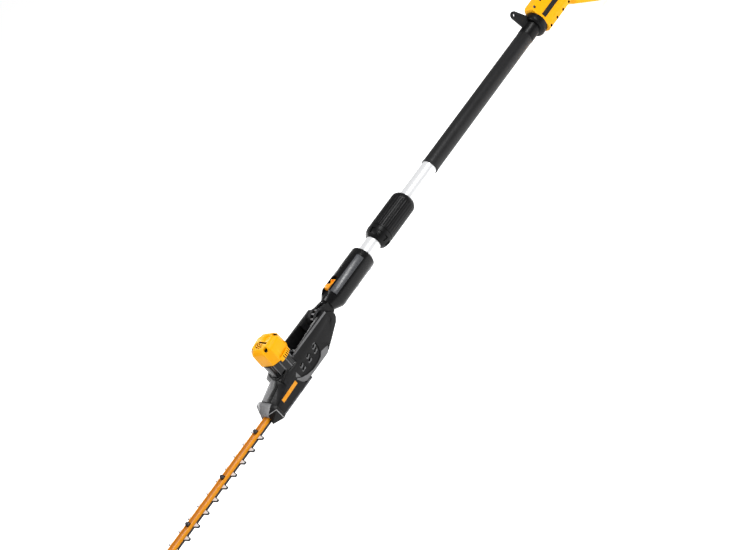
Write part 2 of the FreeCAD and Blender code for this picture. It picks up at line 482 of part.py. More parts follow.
# ---------------------------------------------------------------- rear handle
HOUSE = [(0, "house_top"), (10, "house_top"), (27, -12), (26, -22), (20, "house_low"), (0, "house_low")]
LOOP = [(700, -18), (722, -18), (730, -32), (794, -78), (880, -78), (880, -40), (900, -40), (900, -96),
        (788, -96), (706, -38), (694, -26)]
HANDLE_SCREWS = [(611 + 25.4 * i, -19.2) for i in range(5)] + [(611.5, 33), (635, 33), (892, 20), (1004, 20), (892, -60),
                                                              (800, -87), (860, -87)]
GRIP = [(0, "grip_top"), ("grip_half - 8", "grip_top"), ("grip_half", "grip_top - 8"), ("grip_half", "grip_low + 7"),
        ("grip_half - 7", "grip_low"), (0, "grip_low")]
for name, side in (("handle_shell_left", -1), ("handle_shell_right", 1)):
    shell = body(name)
    away = side > 0

    def section(points):
        return [(f"{side} * ({a})", b) for a, b in points]

    grow(shell, "Pad", sketch(shell, "yz", [section(HOUSE)], offset="house_x"), "house_len")
    soften(shell, 4, lambda e: along(e, X_AXIS) and abs(e.CenterOfMass.y) > 5)
    grow(shell, "Pocket", sketch(shell, "xz", [[("house_x - 1", 33), ("house_x", 33), ("house_x + 5", 38),
                                                ("house_x + 5", 60), ("house_x - 1", 60)]]), 80, both=True)
    grow(shell, "Pad", sketch(shell, "yz", [section(GRIP)], offset="grip_x"), "grip_len")
    grow(shell, "Pad", sketch(shell, "xz", [[("block_x", "block_low"), ("block_x + block_len", "block_low"),
                                             ("block_x + block_len", "block_top - 14"),
                                             ("block_x + block_len - 14", "block_top"),
                                             ("block_x + 8", "block_top"), ("block_x", "block_top - 10")]]),
         "block_half", back=away)
    soften(shell, 5, lambda e: abs(abs(e.CenterOfMass.y) - SIZES["block_half"]) < 0.01)
    grow(shell, "Pad", sketch(shell, "xz", [LOOP]), "loop_half", back=away)
    hollow = section([(0, "house_top - wall"), ("10 - wall", "house_top - wall"), ("27 - wall", -12),
                      ("26 - wall", -14.5), ("26 - wall - 8", "-14.5"), ("20 - wall", "house_low + wall"),
                      (0, "house_low + wall")])
    grow(shell, "Pocket", sketch(shell, "yz", [hollow], offset="house_x + seat_len"), "house_len - seat_len - wall",
         back=True)
    grow(shell, "Pocket", sketch(shell, "yz", circles=[(0, 0, "pole_r")], offset="house_x - 1"), "seat_len + 8", back=True)
    room = section([(0, "grip_top - wall"), ("grip_half - 8", "grip_top - wall"), ("grip_half - wall", "grip_top - 8"),
                    ("grip_half - wall", "grip_low + 7"), ("grip_half - 7", "grip_low + wall"),
                    (0, "grip_low + wall")])
    grow(shell, "Pocket", sketch(shell, "yz", [room], offset="grip_x"), "grip_len - 2", back=True)
    grow(shell, "Pocket", sketch(shell, "xz", [[("block_x + wall", -34), ("block_x + block_len - wall", -34),
                                                ("block_x + block_len - wall", 14), ("block_x + block_len - 15", 26),
                                                ("block_x + 10", 26), ("block_x + wall", 18)]]),
         "block_half - wall", back=side < 0)
    track = [("block_x + 18", "flange_z - 0.4"), ("block_x + block_len + 2", "flange_z - 0.4"),
             ("block_x + block_len + 2", "tower_top + 0.5"), ("block_x + 18", "tower_top + 0.5")]
    grow(shell, "Pocket", sketch(shell, "xz", [track]), "flange_half + 0.4", back=side < 0)
    neck = [("block_x + 18", -60), ("block_x + block_len + 2", -60), ("block_x + block_len + 2", "flange_z"),
            ("block_x + 18", "flange_z")]
    grow(shell, "Pocket", sketch(shell, "xz", [neck]), "tower_half + 0.4", back=side < 0)
    grow(shell, "Pocket", sketch(shell, "xz", [[(733, -22), (797, -22), (797, 0), (733, 0)]]), "trig_slot",
         back=side < 0)
    grow(shell, "Pocket", sketch(shell, "xz", [[(744, 10), (766, 10), (766, 26), (744, 26)]]), 6.5, back=side < 0)
    grow(shell, "Pocket", sketch(shell, "xz", circles=[("trig_x", "trig_z", "trig_pin_r")]), 14, back=side < 0)
    holes = sketch(shell, "xz", circles=[(x, z, "screw_r") for x, z in HANDLE_SCREWS])
    grow(shell, "Pocket", holes, 80, both=True)
    if side < 0:
        for x, z in HANDLE_SCREWS:
            depth = 8 if z > 25 else 8.5
            grow(shell, "Pocket", sketch(shell, "xz", circles=[(x, z, "screw_head_r")], offset=depth), 40, back=True)
    node(shell, name)

node(group(*[screw((x, -11 if z < 25 else -10.5, z), length=18) for x, z in HANDLE_SCREWS]), "handle_screws")

over = body("grip_overmold")
saddle = [("grip_half", 0), ("grip_half", "grip_top - 8"), ("grip_half - 8", "grip_top"), (0, "grip_top"),
          (0, "grip_top + 2"), ("grip_half - 7", "grip_top + 2"), ("grip_half + 2", "grip_top - 7"),
          ("grip_half + 2", 0)]
whole = saddle[:3] + [("-grip_half + 8", "grip_top"), ("-grip_half", "grip_top - 8"), ("-grip_half", 0),
                      ("-grip_half - 2", 0), ("-grip_half - 2", "grip_top - 7"), ("-grip_half + 7", "grip_top + 2"),
                      ("grip_half - 7", "grip_top + 2"), ("grip_half + 2", "grip_top - 7"), ("grip_half + 2", 0)]
grow(over, "Pad", sketch(over, "yz", [whole], offset=775), 106)
node(over, "grip_overmold")

FACE_TILT = math.degrees(math.atan2(17, 50))
panels = []
for side in (-1, 1):
    plate = box((106, 0.8, 10), (0, -0.8 if side < 0 else 0, 15.5))
    hold = group(plate)
    hold.Placement = FreeCAD.Placement(FreeCAD.Vector(), FreeCAD.Rotation(X_AXIS, side * FACE_TILT))
    panels.append(place(hold, 612, f"{side} * 27", -12))
node(group(*panels), "side_panels")

node(box((66, 24, 30), (646, -12, -12)), "control_board")
place(NODES[-1], 646, -12, "axis_h - 12")
node(box((40, 20, 22), (800, -10, -10)), "switch_module")
place(NODES[-1], 800, -10, "axis_h - 10")
node(box((8, 28, 7), (904, -14, -46)), "terminal_block")
place(NODES[-1], "block_x + 18", -14, "axis_h - 46")
node(rod("trig_pin_r", 28, ("trig_x", -14, "trig_z"), "y"), "trigger_pin")
place(NODES[-1], "trig_x", -14, "axis_h + trig_z")

trigger = body("trigger")
grow(trigger, "Pad", sketch(trigger, "xz", [[(-6, 4), (2, 6), (46, 2), (46, -12), (36, -16), (20, -22), (10, -31),
                                             (4, -32), (-1, -26), (-6, -8)]]), "2 * trig_half", both=True)
grow(trigger, "Pocket", sketch(trigger, "xz", circles=[(0, 0, "trig_pin_r + run_fit")]), 40, both=True)
soften(trigger, 2, lambda e: abs(abs(e.CenterOfMass.y) - SIZES["trig_half"]) < 0.01 and e.CenterOfMass.z < -13)
node(trigger, "trigger", x="trig_x", z="axis_h + trig_z")

lock = body("lockoff_button")
grow(lock, "Pad", sketch(lock, "xz", [[(747, 16), (763, 16), (763, 24), (759, 26), (751, 26), (747, 24)]]), 12,
     both=True)
node(lock, "lockoff_button")

# ---------------------------------------------------------------- battery
low = body("battery_case_lower")
grow(low, "Pad", sketch(low, "xy", [[("pack_x", "-pack_half"), ("pack_x + pack_len", "-pack_half"),
                                     ("pack_x + pack_len", "pack_half"), ("pack_x", "pack_half")]], offset="-axis_h"),
     "axis_h + pack_split")
soften(low, 8, lambda e: along(e, Z_AXIS))
soften(low, 3, lambda e: abs(e.CenterOfMass.z + SIZES["axis_h"]) < 0.1)
grow(low, "Pocket", sketch(low, "xy", [[("pack_x + 3", "-pack_half + 3"), ("pack_x + pack_len - 5", "-pack_half + 3"),
                                        ("pack_x + pack_len - 5", "pack_half - 3"), ("pack_x + 3", "pack_half - 3")]],
                           offset="3 - axis_h"), 80, back=True)
grow(low, "Pocket", sketch(low, "yz", circles=[(18, -90, 4.3)], offset="pack_x + pack_len"), 4)
node(low, "battery_case_lower")

top = body("battery_case_upper")
grow(top, "Pad", sketch(top, "xy", [[("pack_x", "-pack_half + 1"), ("pack_x + pack_len - 1", "-pack_half + 1"),
                                     ("pack_x + pack_len - 1", "pack_half - 1"), ("pack_x", "pack_half - 1")]],
                         offset="pack_split"), "pack_top - pack_split")
soften(top, 8, lambda e: along(e, Z_AXIS))
soften(top, 4, lambda e: abs(e.CenterOfMass.z - SIZES["pack_top"]) < 0.1)
for half, start, end in (("tower_half", "pack_top - 1", "tower_top"), ("flange_half", "flange_z", "tower_top")):
    grow(top, "Pad", sketch(top, "xy", [[("tower_x", f"-{half}"), ("tower_x + tower_len", f"-{half}"),
                                         ("tower_x + tower_len", half), ("tower_x", half)]], offset=start),
         f"{end} - ({start})")
grow(top, "Pocket", sketch(top, "yz", [[(-14.5, -68), (14.5, -68), (14.5, -56), (-14.5, -56)]], offset=1030), 24)
node(top, "battery_case_upper")
cells = [rod(9, 66, (f"pack_x + 14 + 21 * {i}", -33, z), "y") for i in range(5) for z in (-101, -81.5)]
node(group(*cells), "battery_cells")
node(box((9, 28, 11), (1009.5, -14, -67.5)), "release_button")
place(NODES[-1], 1009.5, -14, "axis_h - 67.5")
node(rod(4, 2.6, ("half_len - 2.6", 18, -90), "x"), "gauge_button")
place(NODES[-1], "half_len - 2.6", 18, "axis_h - 90")

# ---------------------------------------------------------------- check and export
doc.recompute()
bad = [o.Label for o in doc.Objects if "Invalid" in o.State or "Error" in o.State]
if bad:
    raise RuntimeError("failed objects: " + ", ".join(bad))
os.makedirs("parts", exist_ok=True)
for piece in NODES:
    shape = piece.Shape
    if shape.isNull() or not shape.isValid() or not shape.Solids:
        raise RuntimeError("bad shape: " + piece.Label)
    Part.export([piece], f"parts/{piece.Label}.step")
    b = shape.BoundBox
    print(f"{piece.Label:20s} {len(shape.Solids):3d} solids  x {b.XMin:8.1f} {b.XMax:8.1f}  y {b.YMin:6.1f}"
          f" {b.YMax:6.1f}  z {b.ZMin:6.1f} {b.ZMax:6.1f}")
print(len(NODES), "nodes")
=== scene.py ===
"""Looks of the pole hedge trimmer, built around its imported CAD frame. Lengths in the code are millimetres."""
import json
import math

import bmesh
import bpy
from mathutils import Matrix, Vector


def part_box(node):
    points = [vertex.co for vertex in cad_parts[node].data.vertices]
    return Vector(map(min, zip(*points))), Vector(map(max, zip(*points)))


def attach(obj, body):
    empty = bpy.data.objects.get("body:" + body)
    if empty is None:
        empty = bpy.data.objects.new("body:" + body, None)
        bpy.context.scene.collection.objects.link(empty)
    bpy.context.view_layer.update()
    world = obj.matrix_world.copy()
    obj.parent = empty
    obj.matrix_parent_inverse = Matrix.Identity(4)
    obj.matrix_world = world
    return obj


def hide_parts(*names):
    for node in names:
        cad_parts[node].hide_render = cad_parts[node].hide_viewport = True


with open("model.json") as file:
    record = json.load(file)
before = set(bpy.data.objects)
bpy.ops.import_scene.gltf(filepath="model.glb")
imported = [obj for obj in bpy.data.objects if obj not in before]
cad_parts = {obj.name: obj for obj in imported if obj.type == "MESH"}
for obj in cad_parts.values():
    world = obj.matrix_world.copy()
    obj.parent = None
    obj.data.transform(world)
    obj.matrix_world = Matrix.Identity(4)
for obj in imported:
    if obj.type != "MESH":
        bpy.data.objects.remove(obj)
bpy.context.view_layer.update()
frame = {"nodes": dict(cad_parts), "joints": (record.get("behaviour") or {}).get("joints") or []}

MM = 0.001
HINGES = {j["name"]: Vector(j["pos_m"]) / MM for j in frame["joints"] if j.get("pos_m")}
PIVOT = HINGES["head_tilt"]
MOTOR_X = round(HINGES["rotor_spin"].x - PIVOT.x)
CRANK_X = round(HINGES["crank_spin"].x - PIVOT.x)
MOTOR = PIVOT + Vector((MOTOR_X, 0, 0))
POLE = Vector((0, 0, (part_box("tube_upper")[0].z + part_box("tube_upper")[1].z) / 2 / MM))


# ------------------------------------------------------------------ materials
GRAIN_HEIGHT = 0.0001
BROAD_GRAIN, WEAR_GRAIN = 22, 160
NOISE_RANGE, EDGE_RANGE = (0.3, 0.7), (0.54, 0.66)


def surface(name, color, rough=0.5, metal=0.0, grain=1500, depth=0.02, stretch=(1, 1, 1), vary=0.12,
            rough_vary=0.08, wear=None, wear_amount=0.5, spec=0.5):
    """Procedural finish: two scales of tone, a fine grain in the bump, and rubbed edges."""
    mat = bpy.data.materials.new(name)
    mat.use_nodes = True
    nodes, links = mat.node_tree.nodes, mat.node_tree.links
    bsdf = nodes["Principled BSDF"]
    bsdf.inputs["Metallic"].default_value = metal
    bsdf.inputs["Specular IOR Level"].default_value = spec
    where = nodes.new("ShaderNodeTexCoord")
    scaled = nodes.new("ShaderNodeMapping")
    scaled.inputs["Scale"].default_value = stretch
    links.new(where.outputs["Object"], scaled.inputs["Vector"])

    def noise(scale, detail=4.0):
        n = nodes.new("ShaderNodeTexNoise")
        n.inputs["Scale"].default_value = scale
        n.inputs["Detail"].default_value = detail
        links.new(scaled.outputs["Vector"], n.inputs["Vector"])
        return n.outputs["Fac"]

    def spread(source, low, high):
        r = nodes.new("ShaderNodeMapRange")
        r.inputs["From Min"].default_value, r.inputs["From Max"].default_value = NOISE_RANGE
        r.inputs["To Min"].default_value, r.inputs["To Max"].default_value = low, high
        links.new(source, r.inputs["Value"])
        return r.outputs["Result"]

    broad, fine = noise(BROAD_GRAIN, 3.0), noise(grain, 3.0)
    tone = nodes.new("ShaderNodeMix")
    tone.data_type = "RGBA"
    tone.inputs["A"].default_value = (*[c * (1 - vary) for c in color], 1)
    tone.inputs["B"].default_value = (*[min(1, c * (1 + vary)) for c in color], 1)
    both = nodes.new("ShaderNodeMath")
    both.operation = "MULTIPLY_ADD"
    both.inputs[1].default_value = 0.45
    links.new(fine, both.inputs[0])
    links.new(spread(broad, 0.05, 0.6), both.inputs[2])
    links.new(both.outputs[0], tone.inputs["Factor"])
    color_out = tone.outputs["Result"]
    if wear:
        geo = nodes.new("ShaderNodeNewGeometry")
        edge = nodes.new("ShaderNodeMapRange")
        edge.inputs["From Min"].default_value, edge.inputs["From Max"].default_value = EDGE_RANGE
        links.new(geo.outputs["Pointiness"], edge.inputs["Value"])
        patchy = nodes.new("ShaderNodeMath")
        patchy.operation = "MULTIPLY"
        links.new(edge.outputs["Result"], patchy.inputs[0])
        links.new(spread(noise(WEAR_GRAIN), 0.0, wear_amount), patchy.inputs[1])
        rubbed = nodes.new("ShaderNodeMix")
        rubbed.data_type = "RGBA"
        rubbed.inputs["B"].default_value = (*wear, 1)
        links.new(patchy.outputs[0], rubbed.inputs["Factor"])
        links.new(color_out, rubbed.inputs["A"])
        color_out = rubbed.outputs["Result"]
    links.new(color_out, bsdf.inputs["Base Color"])
    links.new(spread(noise(grain * 0.25), rough - rough_vary, rough + rough_vary), bsdf.inputs["Roughness"])
    relief = nodes.new("ShaderNodeBump")
    relief.inputs["Strength"].default_value = min(1.0, depth * 10)
    relief.inputs["Distance"].default_value = GRAIN_HEIGHT
    links.new(fine, relief.inputs["Height"])
    links.new(relief.outputs["Normal"], bsdf.inputs["Normal"])
    return mat


SOOT = (0.003, 0.003, 0.0033)
RUBBED = (0.03, 0.03, 0.032)
BLACK = surface("black_nylon", SOOT, 0.36, grain=1400, depth=0.03, wear=RUBBED, spec=0.17)
SATIN_BLACK = surface("black_satin", SOOT, 0.28, grain=1100, depth=0.02, wear=RUBBED, spec=0.2)
GLOSS_BLACK = surface("black_gloss", (0.003, 0.003, 0.0035), 0.16, grain=900, depth=0.01, spec=0.3)
# painted shade: near-black laid inside vents, wells, slots and screw seats, where shade falls
RECESS_SHADE = surface("painted_recess_shade", (0.002, 0.002, 0.002), 0.7, grain=900, depth=0.02, spec=0.05)
# painted highlight and painted reflection: lighter grey laid on the belly scoops, arm tops, vent ramps, ring
# ribs and curb edges
PAINTED_SHEEN = surface("painted_sheen_grey", (0.115, 0.115, 0.118), 0.42, grain=1200, depth=0.03, vary=0.35, spec=0.3)
# pale grey: the index disc's own colour, and painted light on the far side of the neck and of the hand guard
PALE_GREY_AND_PAINTED_LIGHT = surface("pale_grey_and_painted_light", (0.16, 0.16, 0.165), 0.45, grain=1200, depth=0.03, vary=0.3, spec=0.3)
# painted highlight: light grey on the raised beads along the hand guard's edges
BEAD_HIGHLIGHT = surface("bead_painted_highlight", (0.26, 0.26, 0.265), 0.35, grain=1200, depth=0.02)
# painted highlight: dark grey on the adapter's shoulder strip, where a reflected band of light falls
HIGHLIGHT_STRIP = surface("strip_painted_highlight", (0.05, 0.052, 0.057), 0.3, grain=1200, depth=0.02)
GREY = surface("grey_trim", (0.13, 0.135, 0.145), 0.42, grain=1200, depth=0.02, wear=(0.25, 0.25, 0.26))
GRIP = surface("grip_foam", (0.011, 0.011, 0.0115), 0.45, grain=900, depth=0.06, vary=0.2, rough_vary=0.1,
               spec=0.22)
RUBBER = surface("soft_rubber", (0.007, 0.007, 0.0075), 0.6, grain=1000, depth=0.05, spec=0.3)
YELLOW = surface("yellow_shell", (0.9, 0.385, 0.0), 0.42, spec=0.12, grain=1300, depth=0.02, vary=0.05,
                 wear=(1.0, 0.66, 0.08), wear_amount=0.35)
ORANGE = surface("rail_orange", (0.66, 0.235, 0.001), 0.42, grain=900, depth=0.02, vary=0.1, spec=0.16,
                 wear=(0.9, 0.42, 0.05), wear_amount=0.6)
# painted shade: deeper orange for the floor of the rail's channel
ORANGE_PAINTED_SHADE = surface("rail_orange_painted_shade", (0.46, 0.14, 0.001), 0.5, grain=900, depth=0.02, vary=0.1,
                      spec=0.12)
LATCH = surface("latch_orange", (0.93, 0.33, 0.006), 0.3, grain=900, depth=0.01, wear=(1.0, 0.55, 0.05))
RED = surface("red_trigger", (0.5, 0.02, 0.008), 0.35, grain=900, depth=0.01, wear=(0.6, 0.08, 0.04))
POLE_METAL = surface("pole_aluminium", (0.74, 0.745, 0.755), 0.3, metal=0.3, grain=700, depth=0.01,
                     stretch=(0.03, 1, 1), vary=0.05, rough_vary=0.06)
GROUND_STEEL = surface("ground_steel", (0.82, 0.83, 0.85), 0.34, metal=0.45, grain=500, depth=0.02,
                       stretch=(1, 0.06, 1), vary=0.1)
FLANK = surface("tooth_flank", (0.012, 0.012, 0.014), 0.36, metal=0.3, grain=700, depth=0.02, vary=0.3)
DARK_STEEL = surface("dark_steel", (0.035, 0.035, 0.04), 0.38, metal=0.75, grain=800, depth=0.02,
                     wear=(0.3, 0.3, 0.31))
BRIGHT_STEEL = surface("zinc_steel", (0.55, 0.56, 0.58), 0.32, metal=1.0, grain=800, depth=0.02, vary=0.1)
BRASS = surface("brass_contact", (0.72, 0.5, 0.18), 0.3, metal=1.0, grain=900, depth=0.01)
COPPER = surface("winding", (0.42, 0.15, 0.05), 0.35, metal=0.8, grain=400, depth=0.08, stretch=(1, 1, 4),
                 vary=0.3)
CIRCUIT = surface("potted_board", (0.01, 0.12, 0.05), 0.4, grain=300, depth=0.05, vary=0.4)
CELL = surface("cell_wrap", (0.03, 0.12, 0.35), 0.35, grain=500, depth=0.01)
FLOOR = surface("pale_floor", (0.87, 0.87, 0.87), 0.7, grain=60, depth=0.0, vary=0.01)


# ------------------------------------------------------------------ mesh helpers
SHARP = 32
WELD = 1e-6


def in_frame(points, origin):
    """Millimetre points about an origin, as metres in the frame."""
    return [(Vector(p) + origin) * MM for p in points]


def along(axis, h, c, d):
    """Point at station h of an axis, with c and d on the other two."""
    return {"x": (h, c, d), "y": (c, h, d), "z": (c, d, h)}[axis]


def polar(radius, degrees):
    angle = math.radians(degrees)
    return radius * math.cos(angle), radius * math.sin(angle)


def arc(radius, start, stop, steps, at=(0, 0)):
    """Points on a round stretch from one angle to the other, in degrees."""
    points = []
    for k in range(steps + 1):
        c, d = polar(radius, start + (stop - start) * k / steps)
        points.append((at[0] + c, at[1] + d))
    return points


def cad_span(node):
    """Lowest and highest corner of a CAD node's box, in millimetres."""
    return [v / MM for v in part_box(node)]


def shade(obj):
    """Smooth shading that breaks at clear edges."""
    obj.data.shade_smooth()
    obj.data.set_sharp_from_angle(angle=math.radians(SHARP))
    return obj


def add(name, bm, material):
    """Object from a bmesh, with one material or several slots."""
    bmesh.ops.recalc_face_normals(bm, faces=bm.faces)
    mesh = bpy.data.meshes.new(name)
    bm.to_mesh(mesh)
    bm.free()
    obj = bpy.data.objects.new(name, mesh)
    bpy.context.scene.collection.objects.link(obj)
    for m in material if isinstance(material, (list, tuple)) else (material,):
        mesh.materials.append(m)
    return shade(obj)


def apply_modifiers(obj):
    """Bakes the modifiers into a new mesh."""
    seen = bpy.context.evaluated_depsgraph_get()
    mesh = bpy.data.meshes.new_from_object(obj.evaluated_get(seen))
    obj.modifiers.clear()
    obj.data = mesh
    return obj


def bevel(obj, width, segments=3, angle=28, paint=-1):
    """Rounds the edges sharper than angle; paint is the material slot of the new faces."""
    mod = obj.modifiers.new("bevel", "BEVEL")
    mod.material = paint
    mod.width, mod.segments = width * MM, segments
    mod.limit_method, mod.angle_limit = "ANGLE", math.radians(angle)
    mod.use_clamp_overlap = True
    return shade(apply_modifiers(obj))


def combine(obj, others, how="DIFFERENCE"):
    """Exact boolean with each of the others, which are used up."""
    for other in others:
        mod = obj.modifiers.new("cut", "BOOLEAN")
        mod.operation, mod.object, mod.solver = how, other, "EXACT"
        apply_modifiers(obj)
        bpy.data.objects.remove(other)
    bm = bmesh.new()
    bm.from_mesh(obj.data)
    bmesh.ops.remove_doubles(bm, verts=bm.verts, dist=WELD)
    bmesh.ops.dissolve_degenerate(bm, edges=bm.edges, dist=WELD)
    bm.to_mesh(obj.data)
    bm.free()
    return shade(obj)


def loft(bm, rims):
    """Side faces between closed rims with the same number of points."""
    n = len(rims[0])
    faces = []
    for a, b in zip(rims, rims[1:]):
        for k in range(n):
            faces.append(bm.faces.new((a[k], a[(k + 1) % n], b[(k + 1) % n], b[k])))
    return faces


def prism(name, outline, axis, low, high, material=BLACK, origin=Vector(), soft=0.0, segments=3):
    """Closed outline pushed along an axis: (y, z) for x, (x, z) for y, (x, y) for z."""
    bm = bmesh.new()
    rims = []
    for h in (low, high):
        rims.append([bm.verts.new(v) for v in in_frame([along(axis, h, *p) for p in outline], origin)])
    bm.faces.new(rims[0])
    bm.faces.new(rims[1][::-1])
    loft(bm, rims)
    obj = add(name, bm, material)
    return bevel(obj, soft, segments) if soft else obj


def turn(name, profile, axis="x", material=BLACK, origin=Vector(), steps=96, wave=None):
    """Closed (station, radius) profile turned about an axis; wave gives the radius at an angle."""
    bm = bmesh.new()
    rings = []
    for s, r in profile:
        ring = []
        for k in range(steps):
            a = 2 * math.pi * k / steps
            rr = wave(a, s, r) if wave else r
            p = along(axis, s, rr * math.cos(a), rr * math.sin(a))
            ring.append(bm.verts.new((Vector(p) + origin) * MM))
        rings.append(ring)
    loft(bm, rings + rings[:1])
    return add(name, bm, material)


def disc(radius, at, axis="y", low=0.0, high=1.0, count=40, top=None, origin=Vector()):
    """Round cutter or boss, tapered when top (the radius at high) differs."""
    top = radius if top is None else top
    bm = bmesh.new()
    rims = []
    for h, r in ((low, radius), (high, top)):
        rim = []
        for k in range(count):
            a = 2 * math.pi * k / count
            p = along(axis, h, at[0] + r * math.cos(a), at[1] + r * math.sin(a))
            rim.append(bm.verts.new((Vector(p) + origin) * MM))
        rims.append(rim)
    bm.faces.new(rims[0])
    bm.faces.new(rims[1][::-1])
    loft(bm, rims)
    return add("cutter", bm, BLACK)


def pill(at, length, width, tilt=0.0, count=10):
    """Outline of a slot with round ends, as points round its edge."""
    half = (length - width) / 2
    points = []
    for end, start in ((half, -90), (-half, 90)):
        for k in range(count + 1):
            a = math.radians(start + 180 * k / count)
            points.append((end + width / 2 * math.cos(a), width / 2 * math.sin(a)))
    c, s = math.cos(math.radians(tilt)), math.sin(math.radians(tilt))
    return [(at[0] + x * c - z * s, at[1] + x * s + z * c) for x, z in points]


def done(obj, body, slot, *stands_for):
    """Rides and replaces the CAD nodes it stands for; slot is not used."""
    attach(obj, body)
    if stands_for:
        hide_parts(*stands_for)
    return obj


def paint(obj, material, origin, chosen):
    """Material on the faces that chosen(centre, face) picks; the centre is in millimetres from the origin."""
    slots = obj.data.materials
    if material.name not in slots:
        slots.append(material)
    index = slots.find(material.name)
    for f in obj.data.polygons:
        if chosen(f.center / MM - origin, f):
            f.material_index = index


def gather(name, parts, material):
    """One piece from several separate solids, which are used up."""
    bm = bmesh.new()
    for part in parts:
        bm.from_mesh(part.data)
        bpy.data.objects.remove(part)
    return add(name, bm, material)


def dress(node, material):
    """New material on a CAD node that stays in view."""
    obj = frame["nodes"][node]
    obj.data.materials.clear()
    obj.data.materials.append(material)


def tub(outline, outer, depth, origin=PIVOT):
    """Outline in (x, z) at y = outer, joined to a floor whose y at each corner is depth(x, z)."""
    bm = bmesh.new()
    rims = [[bm.verts.new(v) for v in in_frame([(x, h(x, z), z) for x, z in outline], origin)]
            for h in (lambda x, z: outer, depth)]
    bm.faces.new(rims[0])
    bmesh.ops.triangulate(bm, faces=[bm.faces.new(rims[1][::-1])])
    loft(bm, rims)
    return add("cutter", bm, BLACK)


def ruled(first, second, far, origin=PIVOT):
    """Cutter whose floor runs from one (x, y, z) line to the other, with its lid at y = far."""
    bm = bmesh.new()
    rows = [[bm.verts.new(v) for v in in_frame(line, origin)] for line in
            (first, second, [(x, far, z) for x, _, z in second], [(x, far, z) for x, _, z in first])]
    n = len(first)
    for a, b in zip(rows, rows[1:] + rows[:1]):
        for i in range(n - 1):
            bm.faces.new((a[i], a[i + 1], b[i + 1], b[i]))
    for i in (0, n - 1):
        bm.faces.new([row[i] for row in rows])
    return add("cutter", bm, BLACK)


def hull(name, points, material=BLACK, origin=PIVOT):
    """Convex solid round the points."""
    bm = bmesh.new()
    for v in in_frame(points, origin):
        bm.verts.new(v)
    bmesh.ops.convex_hull(bm, input=bm.verts)
    loose = [v for v in bm.verts if not v.link_faces]
    bmesh.ops.delete(bm, geom=loose, context="VERTS")
    bmesh.ops.dissolve_limit(bm, angle_limit=0.01, verts=bm.verts, edges=bm.edges)
    return add(name, bm, material)


def block(low, high, origin=PIVOT, material=BLACK):
    """Box between two corners, mostly used as a cutter."""
    outline = [(low[0], low[1]), (high[0], low[1]), (high[0], high[1]), (low[0], high[1])]
    return prism("cutter", outline, "z", low[2], high[2], material, origin)


# ------------------------------------------------------------------ camera, light, floor
EYE_AT = Vector((-1049.5, -1863.6, 1214.0))
RIGHT = Vector((0.541, -0.621, -0.568))
UP = Vector((0.739, 0.028, 0.673))
BACK = Vector((-0.402, -0.783, 0.474))
camera = bpy.data.objects.new("camera", bpy.data.cameras.new("camera"))
bpy.context.scene.collection.objects.link(camera)
camera.data.lens, camera.data.sensor_width = 61.5, 36
camera.data.clip_start, camera.data.clip_end = 0.05, 60
turned_to = Matrix((RIGHT, UP, BACK)).transposed().to_quaternion()
camera.matrix_world = Matrix.Translation(EYE_AT * MM) @ turned_to.to_matrix().to_4x4()
bpy.context.scene.camera = camera

FLOOR_HALF, FLOOR_Z = 15, -0.0005
corners = [(x * FLOOR_HALF, y * FLOOR_HALF, FLOOR_Z) for x, y in ((-1, -1), (1, -1), (1, 1), (-1, 1))]
floor = bpy.data.objects.new("floor", bpy.data.meshes.new("floor"))
floor.data.from_pydata(corners, [], [(0, 1, 2, 3)])
floor.data.materials.append(FLOOR)
bpy.context.scene.collection.objects.link(floor)
glow = FLOOR.node_tree.nodes["Principled BSDF"]
glow.inputs["Emission Color"].default_value = (1, 1, 1, 1)
glow.inputs["Emission Strength"].default_value = 0.66

world = bpy.data.worlds.new("studio")
bpy.context.scene.world = world
world.use_nodes = True
world.node_tree.nodes["Background"].inputs["Color"].default_value = (1, 1, 1, 1)
world.node_tree.nodes["Background"].inputs["Strength"].default_value = 0.36


def softbox(name, at, aim, size, power, length):
    """Rectangular area light, in metres and watts."""
    light = bpy.data.lights.new(name, "AREA")
    light.energy, light.size = power, size
    light.shape = "RECTANGLE"
    light.size_y = length
    obj = bpy.data.objects.new(name, light)
    obj.location = at
    obj.rotation_mode = "QUATERNION"
    obj.rotation_quaternion = (Vector(aim) - Vector(at)).to_track_quat("-Z", "Y")
    bpy.context.scene.collection.objects.link(obj)


bpy.context.scene.view_settings.view_transform = "Standard"
softbox("band", (0.7, -1.25, 1.95), (-0.15, 0, 0.1), 1.6, 40, 0.3)
softbox("top", (-0.9, 0.5, 2.4), (-0.3, 0, 0.1), 1.2, 30, 0.5)
softbox("back", (-0.2, 2.4, 0.45), (-0.3, 0, 0.1), 2.0, 30, 0.9)

# ------------------------------------------------------------------ pole and grip sleeve
TUBE_R, SLEEVE_R = 16, 17.4


def grip_sleeve():
    lo, hi = cad_span("pole_grip_sleeve")
    profile = [(lo.x, TUBE_R), (lo.x, SLEEVE_R - 0.6), (lo.x + 0.6, SLEEVE_R), (hi.x - 3, SLEEVE_R),
               (hi.x - 1, SLEEVE_R - 0.7), (hi.x, SLEEVE_R - 1.4), (hi.x, TUBE_R)]
    sleeve = turn("pole_grip", profile, "x", GRIP, POLE, 128)
    done(sleeve, "rear", "grip_foam", "pole_grip_sleeve")


for node in ("tube_upper", "tube_lower"):
    dress(node, POLE_METAL)
grip_sleeve()
dress("sleeve_end_ring", RUBBER)

# ------------------------------------------------------------------ strap collar with its lug
EYE, EYE_R, LUG_R, LUG_HALF = (562, 54), 3.6, 8.4, 2.4
FLANGE_X, HOUSE_X = 585, 603


